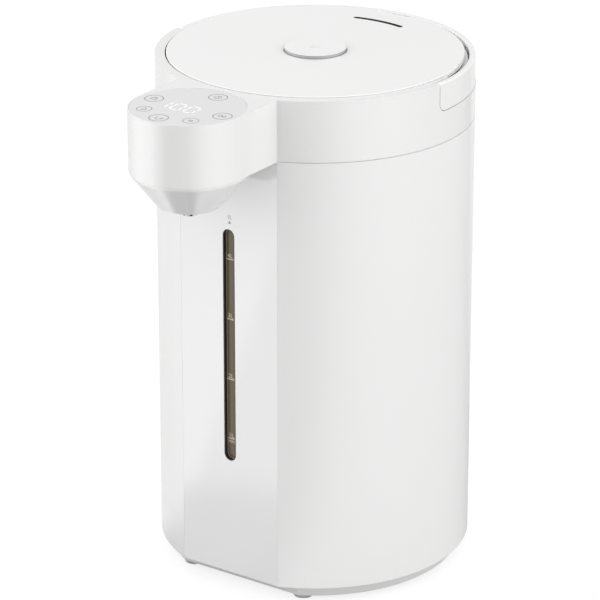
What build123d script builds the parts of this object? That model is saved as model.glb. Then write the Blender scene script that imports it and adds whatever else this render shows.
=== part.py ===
from build123d import *
import math
import os

os.makedirs("parts", exist_ok=True)

# Millimetres, Z up, the floor at zero, the spout towards minus Y. Pieces are drawn about the body axis
# and moved back at the end, so that the middle of the whole outline stands on the origin.

# Clearances
RUNNING_FIT = 0.05
PRESS_FIT = 0.02
SEAT_GAP = 0.1
BODY_GAP = 0.4
SWING_GAP = 1.2

# Body
BODY_RADIUS = 105.0
FLAT_HALF_WIDTH = 38.5
SHELL_HEIGHT = 297.5
SHELL_WALL = 2.0
PANEL_THICKNESS = 3.0

# Gauge window in the flat front
WINDOW_WIDTH = 9.4
WINDOW_LENGTH = 162.8
WINDOW_RISE = 162.6
LENS_MARGIN = 2.0
LENS_RIM = 0.6
LENS_SINK = 0.3

# Base
FOOT_HEIGHT = 3.0
FOOT_RADIUS = 6.5
FOOT_SEAT = 1.5
FOOT_OUTSET = 2.0
FOOT_ANGLES = (60, 120, 240, 300)
BASE_HEIGHT = 9.0
BASE_STEP = 4.0
BASE_TAPER = 3.3
BASE_FLAT_STEP = 4.5
BASE_FLOOR = 3.0
BASE_WALL = 2.5
BASE_FLANGE = 1.2
FLANGE_STEP = 1.5

# Screws that hold the base to the shell
BASE_SCREW_RADIUS = 1.5
BASE_SCREW_HEAD = 3.0
BASE_SCREW_HEAD_HEIGHT = 1.6
BASE_SCREW_RECESS = 0.4
BASE_SCREW_BITE = 14.0
POST_RADIUS = 4.5
POST_HEIGHT = 17.0
POST_INSET = 15.0
POST_ANGLES = (40, 140, 220, 320)
RIB_THICKNESS = 3.0

# Collar and spout head
COLLAR_HEIGHT = 41.0
COLLAR_WALL = 2.5
WELL_WALL = 1.8
SEAM_HEIGHT = 0.6
SEAM_DEPTH = 1.0
DECK_DEPTH = 19.5
DECK_THICKNESS = 2.5
HEAD_WEB = 1.3
HEAD_ROOF = 4.0
TOUCH_MARGIN = 1.5
TOUCH_RECESS = 2.3
TOUCH_SHIFT = 0.8
TOUCH_SINK = 0.2
TOUCH_LEDGE = 6.0

# Parts under the touch panel
CONTROL_BOARD_GAP = 0.8
CONTROL_BOARD_THICKNESS = 1.6
CONTROL_BOARD_DROP = 7.0
BOARD_BOSS_INSET = 2.2
BOARD_BOSS_RADIUS = 2.4
BOARD_BOSS_ANGLES = (70, 150, 210, 250, 290, 330)
BOARD_SCREW_RADIUS = 1.0
BOARD_SCREW_HEAD = 2.0
BOARD_SCREW_HEIGHT = 1.2
BOARD_SCREW_LENGTH = 5.0
DISPLAY_LENGTH = 34.0
DISPLAY_WIDTH = 18.0
DISPLAY_KEY_GAP = 2.44
KEY_INSET = 9.5
KEY_ANGLES = (-180, -135, -90, -45, 0, 90)
KEY_PAD_RADIUS = 3.0

# Cone and nozzle below the head
COVER_THICKNESS = 2.5
CONE_MARGIN = 0.3
CONE_ROUND = 4.0
COVER_LEDGE = 2.2
CONE_LOW_RADIUS = 21.3
CONE_HEIGHT = 23.2
CONE_WALL = 2.0
NOZZLE_RADIUS = 4.9
NOZZLE_BORE = 3.0
NOZZLE_STUB_RADIUS = 4.0
NOZZLE_DROP = 7.6
NOZZLE_STUB_LENGTH = 8.0
NOZZLE_LIP = 3.1
NOZZLE_FLANGE_HEIGHT = 1.5
NOZZLE_NECK = 7.0

# Lid
LID_GAP = 0.8
LID_PLATE = 2.5
LID_PROUD = 0.8
LID_ROUND = 0.5
LID_LIP = 4.1
LID_SKIRT_WALL = 2.0
LID_FLOOR = 2.0
LID_FLOOR_HEIGHT = 3.0
LID_FLOOR_WALL = 2.5
GASKET_INSET = 12.6
GASKET_WIDTH = 5.0
MOUTH_LIP = 2.0
LID_SCREW_INSET = 18.0
LID_SCREW_RADIUS = 1.25
LID_SCREW_HEAD = 2.6
LID_SCREW_HEAD_HEIGHT = 1.0
LID_SCREW_LENGTH = 9.0
LID_BOSS_RADIUS = 4.0
LID_SCREW_ANGLES = (30, 150, 210, 330)

# Steam slot and duct at the back of the lid
VENT_INSET = 22.0
VENT_WIDTH = 3.6
VENT_HALF_LENGTH = 17.8
DUCT_MARGIN = 6.0
DUCT_WALL = 1.5
DUCT_HALF_LENGTH = 23.3
STEAM_HOLE_RADIUS = 3.0
STEAM_HOLE_INSET = 4.0

# Lid hinge
HINGE_INSET = 2.2
HINGE_AXIS_DROP = 1.5
HINGE_BARREL = 1.9
HINGE_PIN_RADIUS = 0.9
HINGE_HALF_LENGTH = 16.0
HINGE_TONGUE_HALF = 7.8
HINGE_POST_THICKNESS = 2.6
HINGE_PLATE = 1.5
HINGE_PLATE_DEPTH = 10.5

# Push button and latch
BUTTON_RADIUS = 20.5
BUTTON_PROUD = 2.1
BUTTON_ROUND = 0.2
BUTTON_TRAVEL = 3.0
BUTTON_CAP = 3.0
BUTTON_WALL = 2.0
BUTTON_LIP = 2.0
BUTTON_LIP_HEIGHT = 1.2
STEM_RADIUS = 5.0
STEM_LENGTH = 9.0
BUTTON_SPRING_GAP = 2.5
BUTTON_SPRING_WIRE = 0.5
BUTTON_SPRING_TURNS = 5.0
BOLT_WIDTH = 8.0
BOLT_HEIGHT = 4.0
BOLT_LIFT = 2.9
BOLT_INNER = 9.0
WEDGE_INSET = 1.5
WEDGE_TIP = 1.0
WEDGE_HALF_WIDTH = 2.8
WEDGE_TIP_LIFT = 1.1
WEDGE_RISE = 6.0
LUG_REACH = 5.5
LUG_THICKNESS = 3.0
LUG_STEP = 20.0
RAIL_THICKNESS = 2.0
RAIL_STEP = 5.5
LATCH_SPRING_LENGTH = 12.0
LATCH_SPRING_RADIUS = 1.7
LATCH_SPRING_WIRE = 0.3
LATCH_SPRING_TURNS = 7.0

# Carry handle
HANDLE_UNDER_GAP = 0.4
HANDLE_OUTSET = 0.4
HANDLE_THICKNESS = 4.0
HANDLE_END = 10.5
HANDLE_TOP_ROUND = 3.0
HANDLE_LOW_ROUND = 5.0
HANDLE_EDGE = 0.6
HANDLE_CHAMFER = 0.5
HANDLE_SINK = 0.5
LEDGE_DROP = 1.4
LEDGE_WIDTH = 1.4
LEDGE_END = 2.0
PIVOT_BACK = 5.5
PIVOT_DROP = 5.0
PIVOT_RADIUS = 2.0
PIVOT_CAP = 1.2
LUG_END = 4.5

# Tank
TANK_REAR_GAP = 8.3
TANK_WALL = 0.8
TANK_CORNER = 8.0
TANK_FLANGE_WIDTH = 5.7
SEAL_GAP = 0.7
SEAL_WIDTH = 2.0
SEAL_HEIGHT = 1.2
TANK_SCREW_STEP = 1.5
TANK_SCREW_RADIUS = 1.0
TANK_SCREW_HEAD = 2.0
TANK_SCREW_HEIGHT = 1.2
TANK_SCREW_LENGTH = 3.0
TANK_SCREW_ANGLES = (20, 90, 160, 200, 270, 340)
SLEEVE_THICKNESS = 6.6
SLEEVE_LOW_STEP = 8.0
SLEEVE_TOP_STEP = 9.5
SLEEVE_CUT_MARGIN = 5.5
HEATER_INSET = 44.5
HEATER_HEIGHT = 6.0
THERMOSTAT_RADIUS = 9.0
THERMOSTAT_HEIGHT = 8.0
THERMOSTAT_OFFSET = 12.0
SENSOR_RADIUS = 3.5
SENSOR_HEIGHT = 10.0
SENSOR_STEP = 10.0

# Pump and water path
PUMP_OFFSET = 20.0
PUMP_SETBACK = 24.7
PUMP_RADIUS = 22.0
PUMP_HEIGHT = 16.0
CHAMBER_WALL = 4.0
CHAMBER_FLOOR = 3.0
CHAMBER_HEIGHT = 10.5
STUB_RADIUS = 6.0
STUB_BORE = 4.2
STUB_LENGTH = 7.0
SPIGOT_LENGTH = 7.0
SPIGOT_GAP = 4.0
OUTLET_OFFSET = 14.0
OUTLET_BORE = 2.8
OUTLET_REACH = 10.0
MOTOR_RADIUS = 16.0
MOTOR_HEIGHT = 21.0
MOTOR_LIFT = 4.0
IMPELLER_GAP = 2.0
IMPELLER_DISC = 2.0
IMPELLER_LIFT = 1.0
VANE_HEIGHT = 5.0
VANE_THICKNESS = 1.6
VANE_COUNT = 6
HUB_RADIUS = 4.0
SHAFT_RADIUS = 1.5
SHAFT_LENGTH = 12.0
SLEEVE_HOSE_WALL = 2.0
SLEEVE_HOSE_GRIP = 5.0
RISER_GAP = 2.6
RISER_WALL = 1.0
RISER_RADIUS = 4.0
RISER_LOW_STEP = 6.0
RISER_TOP_STEP = 3.5
HOSE_WALL = 1.15
HOSE_GRIP = 9.0
NOZZLE_HOSE_GRIP = 7.0
HOSE_BEND = 8.0
OUTLET_RISE = 8.5
CLIP_WALL = 0.8
CLIP_LENGTH = 4.0
CLIP_INSET = 2.0

# Electrics in the base
POWER_BOARD_LENGTH = 58.0
POWER_BOARD_WIDTH = 44.0
POWER_BOARD_THICKNESS = 1.6
POWER_BOARD_SIDE_GAP = 6.9
POWER_BOARD_REAR_GAP = 30.0
POWER_BOARD_LIFT = 11.0
STANDOFF_RADIUS = 3.0
STANDOFF_INSET = 4.0
RELAY_SIZE = (20.0, 15.0, 15.0)
RELAY_PLACE = (-15.0, -8.0)
TRANSFORMER_SIZE = (24.0, 20.0, 18.0)
TRANSFORMER_PLACE = (12.0, 6.0)
CAPACITOR_RADIUS = 5.0
CAPACITOR_HEIGHT = 16.0
CAPACITOR_PLACE = (-14.0, 11.0)
INLET_WIDTH = 35.4
INLET_HEIGHT = 22.0
INLET_RISE = 8.0
INLET_DEPTH = 10.5
INLET_SINK = 2.5
INLET_FLANGE = 3.0
INLET_FLANGE_THICKNESS = 2.8
CONTACT_RADIUS = 2.5
CONTACT_SPACING = 12.0
CONTACT_PROUD = 0.6
CONTACT_LENGTH = 4.0

# Derived body planes
FRONT = math.sqrt(BODY_RADIUS ** 2 - FLAT_HALF_WIDTH ** 2)
PANEL_BACK = FRONT - PANEL_THICKNESS
FLAT_INNER = PANEL_BACK - SHELL_WALL
SHELL_INNER = BODY_RADIUS - SHELL_WALL
BASE_LOW = FOOT_HEIGHT
FLOOR_TOP = BASE_LOW + BASE_FLOOR
SHELL_LOW = FOOT_HEIGHT + BASE_HEIGHT
SHELL_TOP = SHELL_LOW + SHELL_HEIGHT
RIM = SHELL_TOP + COLLAR_HEIGHT
WINDOW_MIDDLE = SHELL_LOW + WINDOW_RISE
LENS_WIDTH = WINDOW_WIDTH + 2 * LENS_MARGIN
LENS_LENGTH = WINDOW_LENGTH + 2 * LENS_MARGIN
POST_PITCH_RADIUS = SHELL_INNER - POST_INSET
FOOT_PITCH_RADIUS = POST_PITCH_RADIUS + FOOT_OUTSET
BASE_SCREW_LOW = BASE_LOW + BASE_SCREW_RECESS
BASE_SCREW_SEAT = BASE_SCREW_LOW + BASE_SCREW_HEAD_HEIGHT

# Derived handle and lid radii, from the outside inwards
HANDLE_OUTER = BODY_RADIUS - HANDLE_OUTSET
HANDLE_INNER = HANDLE_OUTER - HANDLE_THICKNESS
HANDLE_TOP = RIM - HANDLE_SINK
HANDLE_HEIGHT = DECK_DEPTH - HANDLE_UNDER_GAP - HANDLE_SINK
LUG_FACE = math.sqrt(HANDLE_INNER ** 2 - HANDLE_END ** 2) - BODY_GAP
COLLAR_INNER = BODY_RADIUS - COLLAR_WALL
WELL_OUTER = HANDLE_INNER - BODY_GAP
WELL_RADIUS = WELL_OUTER - WELL_WALL
LID_RADIUS = WELL_RADIUS - LID_GAP
LID_SKIRT_RADIUS = LID_RADIUS - LID_LIP
SKIRT_INNER = LID_SKIRT_RADIUS - LID_SKIRT_WALL
GASKET_OUTER = LID_RADIUS - GASKET_INSET
GASKET_INNER = GASKET_OUTER - GASKET_WIDTH
MOUTH_RADIUS = GASKET_INNER - MOUTH_LIP
LID_SCREW_PITCH_RADIUS = MOUTH_RADIUS - LID_SCREW_INSET
VENT_RADIUS = LID_RADIUS - VENT_INSET
HINGE_AXIS_Y = LID_RADIUS - HINGE_INSET

# Derived collar and head planes
DECK_TOP = RIM - DECK_DEPTH
DECK_LOW = DECK_TOP - DECK_THICKNESS
POCKET_FACE = HANDLE_END + SWING_GAP
PIVOT_Z = RIM - PIVOT_DROP
TOUCH_RADIUS = FLAT_HALF_WIDTH - TOUCH_MARGIN
TOUCH_OPENING = TOUCH_RADIUS - TOUCH_LEDGE
HEAD_REACH = WELL_OUTER + TOUCH_RADIUS + HEAD_WEB
HEAD_INNER = FLAT_HALF_WIDTH - COLLAR_WALL
ROOF_LOW = RIM - HEAD_ROOF
TOUCH_LOW = RIM - TOUCH_RECESS
TOUCH_TOP = RIM - TOUCH_SINK
CONTROL_TOP = ROOF_LOW - CONTROL_BOARD_DROP
CONTROL_LOW = CONTROL_TOP - CONTROL_BOARD_THICKNESS
CONTROL_BOARD_RADIUS = HEAD_INNER - CONTROL_BOARD_GAP
BOARD_BOSS_PITCH_RADIUS = CONTROL_BOARD_RADIUS - BOARD_BOSS_INSET
KEY_PITCH_RADIUS = TOUCH_RADIUS - KEY_INSET
DISPLAY_FRONT = KEY_PITCH_RADIUS * math.sin(math.radians(45)) - KEY_PAD_RADIUS - DISPLAY_KEY_GAP
DISPLAY_OFFSET = DISPLAY_FRONT - DISPLAY_WIDTH / 2

# Derived spout planes
COVER_TOP = SHELL_TOP + COVER_THICKNESS
CONE_TOP_RADIUS = FLAT_HALF_WIDTH - CONE_MARGIN
CONE_LOW = SHELL_TOP - CONE_HEIGHT
CONE_FLOOR = CONE_LOW + CONE_WALL
NOZZLE_TIP = CONE_LOW - NOZZLE_DROP
NOZZLE_FLANGE = NOZZLE_RADIUS + NOZZLE_LIP
NOZZLE_SHOULDER = CONE_FLOOR + NOZZLE_FLANGE_HEIGHT + NOZZLE_NECK
NOZZLE_TOP = NOZZLE_SHOULDER + NOZZLE_STUB_LENGTH

# Derived lid planes
LID_TOP = RIM + LID_PROUD
LID_LOW = RIM - LID_PLATE
FLOOR_LOW = DECK_TOP + LID_FLOOR_HEIGHT
LID_FLOOR_TOP = FLOOR_LOW + LID_FLOOR
SKIRT_LOW = LID_FLOOR_TOP + LID_FLOOR_WALL
HINGE_Z = RIM - HINGE_AXIS_DROP
LEDGE_TOP = LID_LOW - LEDGE_DROP
LEDGE_OUTER = LUG_FACE
LEDGE_INNER = WELL_RADIUS - LEDGE_WIDTH
BUTTON_TOP = LID_TOP + BUTTON_PROUD
CAP_LOW = BUTTON_TOP - BUTTON_CAP
LIP_TOP = LID_LOW - BODY_GAP
LIP_LOW = LIP_TOP - BUTTON_LIP_HEIGHT
BUTTON_SPRING_RADIUS = STEM_RADIUS + BUTTON_SPRING_WIRE + BUTTON_SPRING_GAP
BOLT_LOW = LID_FLOOR_TOP + BOLT_LIFT
BOLT_TOP = BOLT_LOW + BOLT_HEIGHT
BOLT_MIDDLE = BOLT_LOW + BOLT_HEIGHT / 2
WEDGE_OUTER = BUTTON_RADIUS - WEDGE_INSET
WEDGE_INNER = WEDGE_OUTER - WEDGE_TIP
WEDGE_LOW = BOLT_LOW + WEDGE_TIP_LIFT
LUG_PLACE = BUTTON_RADIUS + LUG_STEP
LUG_X = BOLT_WIDTH / 2 + LUG_REACH / 2
SPRING_OUTER_Y = LUG_PLACE - LUG_THICKNESS / 2
SPRING_INNER_Y = SPRING_OUTER_Y - LATCH_SPRING_LENGTH
RAIL_START = LUG_PLACE + RAIL_STEP
RAIL_END = SKIRT_INNER - RAIL_STEP

# Derived pump and water planes
MOTOR_LOW = FLOOR_TOP + MOTOR_LIFT
PUMP_LOW = MOTOR_LOW + MOTOR_HEIGHT
PUMP_TOP = PUMP_LOW + PUMP_HEIGHT
PUMP_X = -(PUMP_RADIUS + PUMP_OFFSET)
PUMP_Y = -(FLAT_INNER - PUMP_RADIUS - PUMP_SETBACK)
CHAMBER_RADIUS = PUMP_RADIUS - CHAMBER_WALL
IMPELLER_RADIUS = CHAMBER_RADIUS - IMPELLER_GAP
IMPELLER_LOW = PUMP_LOW + CHAMBER_FLOOR + IMPELLER_LIFT
STUB_TOP = PUMP_TOP + STUB_LENGTH
SPIGOT_LOW = STUB_TOP + SPIGOT_GAP
OUTLET_RADIUS = RISER_RADIUS
OUTLET_Y = PUMP_Y - OUTLET_OFFSET
OUTLET_Z = PUMP_LOW + CHAMBER_FLOOR + CHAMBER_HEIGHT / 2
OUTLET_END = PUMP_X + PUMP_RADIUS + OUTLET_REACH
RISER_Y = -(FLAT_INNER - RISER_GAP - RISER_RADIUS)
RISER_BORE = RISER_RADIUS - RISER_WALL
HOSE_INNER = RISER_RADIUS + RUNNING_FIT
HOSE_OUTER = HOSE_INNER + HOSE_WALL
CLIP_INNER = HOSE_OUTER + RUNNING_FIT
CLIP_OUTER = CLIP_INNER + CLIP_WALL

# Derived tank planes: the tank fills the depth between the riser's clips and the back wall
TANK_LOW = SPIGOT_LOW + SPIGOT_LENGTH
TANK_FRONT = RISER_Y + CLIP_OUTER + SEAT_GAP
TANK_BACK = SHELL_INNER - TANK_REAR_GAP
TANK_OUTER = (TANK_BACK - TANK_FRONT) / 2
TANK_SETBACK = (TANK_BACK + TANK_FRONT) / 2
TANK_RADIUS = TANK_OUTER - TANK_WALL
TANK_FLANGE = TANK_OUTER + TANK_FLANGE_WIDTH
SEAL_INNER = TANK_OUTER + SEAL_GAP
SEAL_OUTER = SEAL_INNER + SEAL_WIDTH
TANK_SCREW_PITCH_RADIUS = SEAL_OUTER + TANK_SCREW_STEP
FLANGE_TOP = DECK_LOW - SEAL_HEIGHT
FLANGE_LOW = FLANGE_TOP - TANK_WALL
SLEEVE_INNER = TANK_OUTER + SEAT_GAP
SLEEVE_OUTER = SLEEVE_INNER + SLEEVE_THICKNESS
SLEEVE_LOW = TANK_LOW + SLEEVE_LOW_STEP
SLEEVE_HIGH = SHELL_TOP - SLEEVE_TOP_STEP
SLEEVE_CUT = FLAT_HALF_WIDTH + SLEEVE_CUT_MARGIN
HEATER_RADIUS = TANK_RADIUS - HEATER_INSET
HEATER_LOW = TANK_LOW - HEATER_HEIGHT
SENSOR_X = HEATER_RADIUS + SENSOR_STEP
RISER_LOW = TANK_LOW - RISER_LOW_STEP
RISER_HIGH = SHELL_TOP - RISER_TOP_STEP
OUTLET_TOP = SHELL_TOP + OUTLET_RISE

# Derived places of the electrics
INLET_FACE = BODY_RADIUS - INLET_SINK
INLET_BACK = INLET_FACE - INLET_DEPTH
INLET_LOW = SHELL_LOW + INLET_RISE
BOARD_LOW = FLOOR_TOP + POWER_BOARD_LIFT
BOARD_TOP = BOARD_LOW + POWER_BOARD_THICKNESS
POST_X = POST_PITCH_RADIUS * math.cos(math.radians(POST_ANGLES[0]))
BOARD_X = POST_X - POST_RADIUS - POWER_BOARD_SIDE_GAP - POWER_BOARD_LENGTH / 2
BOARD_Y = INLET_BACK - POWER_BOARD_REAR_GAP - POWER_BOARD_WIDTH / 2
CENTRE_SHIFT = (HEAD_REACH + FLAT_HALF_WIDTH - BODY_RADIUS) / 2


def disc(radius, low, high, x=0.0, y=0.0):
    """A plain upright cylinder between two heights."""
    height = high - low
    return Pos(x, y, low + height / 2) * Cylinder(radius, height)


def ring(outer, inner, low, high, x=0.0, y=0.0):
    """An upright tube between two heights."""
    return disc(outer, low, high, x, y) - disc(inner, low, high, x, y)


def block(x_range, y_range, z_range):
    """A box between two limits along each axis."""
    size = [limits[1] - limits[0] for limits in (x_range, y_range, z_range)]
    middle = [(limits[1] + limits[0]) / 2 for limits in (x_range, y_range, z_range)]
    return Pos(*middle) * Box(*size)


def centred(size, x, y, low):
    """A box of a given size that stands at a height."""
    return Pos(x, y, low + size[2] / 2) * Box(*size)


def prism(sketch, low, high):
    """A flat outline raised between two heights."""
    return extrude(Pos(0, 0, low) * sketch, amount=high - low)


def rod(radius, start, end, y, z):
    """A cylinder along X."""
    length = end - start
    return Pos(start + length / 2, y, z) * Rot(0, 90, 0) * Cylinder(radius, length)


def polar(radius, angle):
    """The X and Y of a place on a circle."""
    turn = math.radians(angle)
    return radius * math.cos(turn), radius * math.sin(turn)


def d_outline(radius, flat):
    """A circle cut by the flat front."""
    cut = Pos(0, -flat - radius) * Rectangle(4 * radius, 2 * radius)
    return Circle(radius) - cut


def head_outline(half_width, back):
    """The outline of the spout head, round at the front."""
    length = HEAD_REACH - back
    return Pos(0, -back - length / 2) * Rectangle(2 * half_width, length) + Pos(0, -HEAD_REACH) * Circle(half_width)


def upright_slot(width, length, middle, back, depth):
    """A slot with round ends that stands up and runs forwards from a plane."""
    plane = Plane(origin=(0, -back, middle), x_dir=(1, 0, 0), z_dir=(0, -1, 0))
    return extrude(plane * SlotOverall(length, width, rotation=90), amount=depth)


def side_profile(points, half_width):
    """A polygon of Y and Z points carried out along X on both sides."""
    face = Plane.YZ * Polygon(*points, align=None)
    return extrude(face, amount=half_width, both=True)


def back_sector(half_angle, low, high):
    """A wedge of space at the back, about the body axis."""
    reach = 2 * BODY_RADIUS
    turn = math.radians(half_angle)
    right = (reach * math.sin(turn), reach * math.cos(turn))
    left = (-right[0], right[1])
    return prism(Polygon((0, 0), right, left, align=None), low, high)


def hose(points, bend, outer, inner):
    """A hose of straight runs joined by round bends."""
    path = FilletPolyline(*points, radius=bend)
    start = Plane(origin=path @ 0, z_dir=path % 0)
    return sweep(start * Circle(outer), path=path) - sweep(start * Circle(inner), path=path)


def coil(radius, wire, length, turns):
    """A plain coil spring that stands on the origin."""
    span = length - 2 * wire
    path = Helix(pitch=span / turns, height=span, radius=radius)
    spring = sweep(Plane(origin=path @ 0, z_dir=path % 0) * Circle(wire), path=path, is_frenet=True)
    return Pos(0, 0, wire) * spring


def post_places():
    """Where the posts for the base screws stand."""
    return [polar(POST_PITCH_RADIUS, angle) for angle in POST_ANGLES]


def head_places(circle, angles):
    """Places on a circle round the middle of the spout head."""
    places = []
    for angle in angles:
        x, y = polar(circle, angle)
        places.append((x, y - HEAD_REACH))
    return places


def tank_places():
    """Where the tank screws stand."""
    places = []
    for angle in TANK_SCREW_ANGLES:
        x, y = polar(TANK_SCREW_PITCH_RADIUS, angle)
        places.append((x, y + TANK_SETBACK))
    return places


def standoff_places():
    """Where the power board is carried."""
    x, y = BOARD_X, BOARD_Y
    reach_x = POWER_BOARD_LENGTH / 2 - STANDOFF_INSET
    reach_y = POWER_BOARD_WIDTH / 2 - STANDOFF_INSET
    return [(x + i * reach_x, y + j * reach_y) for i in (-1, 1) for j in (-1, 1)]


def foot_places():
    """Where the rubber feet stand."""
    return [polar(FOOT_PITCH_RADIUS, angle) for angle in FOOT_ANGLES]


def body_shell():
    """The outer wall with its flat front, gauge slot, inlet hole and posts."""
    shell = prism(d_outline(BODY_RADIUS, FRONT), SHELL_LOW, SHELL_TOP)
    shell -= prism(d_outline(SHELL_INNER, FLAT_INNER), SHELL_LOW, SHELL_TOP)
    half = FLAT_HALF_WIDTH
    shell -= block((-half, half), (-FRONT, -PANEL_BACK), (SHELL_LOW, SHELL_TOP))
    slot_width = LENS_WIDTH + 2 * SEAT_GAP
    slot_length = LENS_LENGTH + 2 * SEAT_GAP
    shell -= upright_slot(slot_width, slot_length, WINDOW_MIDDLE, FLAT_INNER, SHELL_WALL)
    for angle in POST_ANGLES:
        x, y = polar(POST_PITCH_RADIUS, angle)
        length = BODY_RADIUS - SHELL_WALL / 2 - POST_PITCH_RADIUS
        rib = Pos(POST_PITCH_RADIUS + length / 2, 0, SHELL_LOW + POST_HEIGHT / 2) * Box(length, RIB_THICKNESS, POST_HEIGHT)
        post = disc(POST_RADIUS, SHELL_LOW, SHELL_LOW + POST_HEIGHT, x, y) + Rot(0, 0, angle) * rib
        shell += post - disc(BASE_SCREW_RADIUS + PRESS_FIT, SHELL_LOW, SHELL_LOW + POST_HEIGHT, x, y)
    wide = INLET_WIDTH / 2 + SEAT_GAP
    low = INLET_LOW - SEAT_GAP
    high = INLET_LOW + INLET_HEIGHT + SEAT_GAP
    return shell - block((-wide, wide), (INLET_BACK, BODY_RADIUS), (low, high))


def front_panel():
    """The gloss plate on the flat front, cut for the gauge window."""
    half = FLAT_HALF_WIDTH - SEAT_GAP
    plate = block((-half, half), (-FRONT, -PANEL_BACK), (SHELL_LOW, SHELL_TOP))
    return plate - upright_slot(WINDOW_WIDTH, WINDOW_LENGTH, WINDOW_MIDDLE, PANEL_BACK, PANEL_THICKNESS)


def gauge_window():
    """The tinted lens in the slot of the shell, with the rim that lines the slot of the panel."""
    lens = upright_slot(LENS_WIDTH, LENS_LENGTH, WINDOW_MIDDLE, FLAT_INNER, SHELL_WALL)
    width = WINDOW_WIDTH - 2 * SEAT_GAP
    length = WINDOW_LENGTH - 2 * SEAT_GAP
    depth = PANEL_THICKNESS - LENS_SINK
    rim = upright_slot(width, length, WINDOW_MIDDLE, PANEL_BACK, depth)
    rim -= upright_slot(width - 2 * LENS_RIM, length - 2 * LENS_RIM, WINDOW_MIDDLE, PANEL_BACK, depth)
    return lens + rim


def collar_block():
    """The full collar and head before they are hollowed."""
    collar = disc(BODY_RADIUS, SHELL_TOP, RIM)
    head = prism(head_outline(FLAT_HALF_WIDTH, 0), SHELL_TOP, RIM)
    seam = ring(BODY_RADIUS, BODY_RADIUS - SEAM_DEPTH, SHELL_TOP, SHELL_TOP + SEAM_HEIGHT)
    seam -= block((-BODY_RADIUS, BODY_RADIUS), (-BODY_RADIUS, -FRONT), (SHELL_TOP, SHELL_TOP + SEAM_HEIGHT))
    return collar - seam + head


def handle_pocket():
    """The space round the back of the collar that the handle lies and swings in."""
    reach = 2 * BODY_RADIUS
    corner = HANDLE_LOW_ROUND + SWING_GAP
    face = Plane.YZ * Pos(reach / 2 - POCKET_FACE, DECK_TOP + DECK_DEPTH) * Rectangle(reach, 2 * DECK_DEPTH)
    low_corner = face.vertices().group_by(Axis.Z)[0].sort_by(Axis.Y)[0]
    space = extrude(fillet(low_corner, corner), amount=reach, both=True)
    lugs = disc(WELL_OUTER, DECK_TOP, RIM + DECK_DEPTH)
    lugs &= block((-LUG_FACE, LUG_FACE), (-reach, reach), (DECK_TOP, RIM + DECK_DEPTH))
    return space - lugs


def top_housing():
    """The collar with its lid well and deck, and the hollow spout head."""
    housing = collar_block()
    housing -= disc(COLLAR_INNER, SHELL_TOP, DECK_LOW)
    housing -= prism(head_outline(HEAD_INNER, 0), SHELL_TOP, DECK_LOW)
    housing -= prism(head_outline(HEAD_INNER, 0), DECK_LOW, ROOF_LOW) - disc(WELL_OUTER, DECK_LOW, ROOF_LOW)
    housing -= disc(MOUTH_RADIUS, DECK_LOW, DECK_TOP)
    housing -= disc(WELL_RADIUS, DECK_TOP, RIM)
    void = ring(COLLAR_INNER, WELL_OUTER, DECK_LOW, RIM - COLLAR_WALL)
    reach = 2 * BODY_RADIUS
    void -= block((-reach, reach), (-POCKET_FACE - COLLAR_WALL, reach), (DECK_LOW, RIM))
    housing -= void
    housing -= handle_pocket()
    housing -= block((-reach, reach), (LUG_END, reach), (DECK_TOP, RIM))
    ledge = ring(LEDGE_OUTER, LEDGE_INNER, DECK_TOP, LEDGE_TOP)
    ledge &= block((-reach, reach), (LUG_END - WELL_WALL, reach), (DECK_TOP, LEDGE_TOP))
    side = HINGE_HALF_LENGTH + LEDGE_END
    housing += ledge - block((-side, side), (LUG_END, reach), (DECK_TOP, LEDGE_TOP))
    housing -= disc(TOUCH_RADIUS + SEAT_GAP, TOUCH_LOW, RIM, 0, -HEAD_REACH - TOUCH_SHIFT)
    housing -= disc(TOUCH_OPENING, ROOF_LOW, TOUCH_LOW, 0, -HEAD_REACH)
    keeper_half = BOLT_WIDTH / 2 + BODY_GAP
    keeper_z = (BOLT_LOW - BODY_GAP, BOLT_TOP + BODY_GAP)
    housing -= block((-keeper_half, keeper_half), (-WELL_OUTER - BODY_GAP, -MOUTH_RADIUS), keeper_z)
    for x, y in head_places(BOARD_BOSS_PITCH_RADIUS, BOARD_BOSS_ANGLES):
        housing += disc(BOARD_BOSS_RADIUS, CONTROL_TOP, ROOF_LOW, x, y)
        housing -= disc(BOARD_SCREW_RADIUS + PRESS_FIT, CONTROL_TOP, ROOF_LOW, x, y)
    for x, y in tank_places():
        housing -= disc(TANK_SCREW_RADIUS + PRESS_FIT, DECK_LOW, DECK_TOP, x, y)
    pivot = PIVOT_RADIUS + PRESS_FIT
    return housing - rod(pivot, -BODY_RADIUS, BODY_RADIUS, -PIVOT_BACK, PIVOT_Z)


def rounded_cone(top):
    """A solid cone whose upper edge turns over a round shoulder."""
    middle = CONE_TOP_RADIUS - CONE_ROUND
    run, rise = middle - CONE_LOW_RADIUS, top - CONE_LOW
    turn = math.atan2(run, rise) + math.asin(CONE_ROUND / math.hypot(run, rise))
    points = [(middle + CONE_ROUND * math.cos(a), top - CONE_ROUND * math.sin(a)) for a in (turn, turn / 2, 0)]
    outline = Polyline((0, top), (0, CONE_LOW), (CONE_LOW_RADIUS, CONE_LOW), points[0])
    outline += ThreePointArc(*points)
    outline += Line(points[2], (0, top))
    return revolve(Plane.XZ * make_face(outline), Axis.Z, 360)


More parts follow.
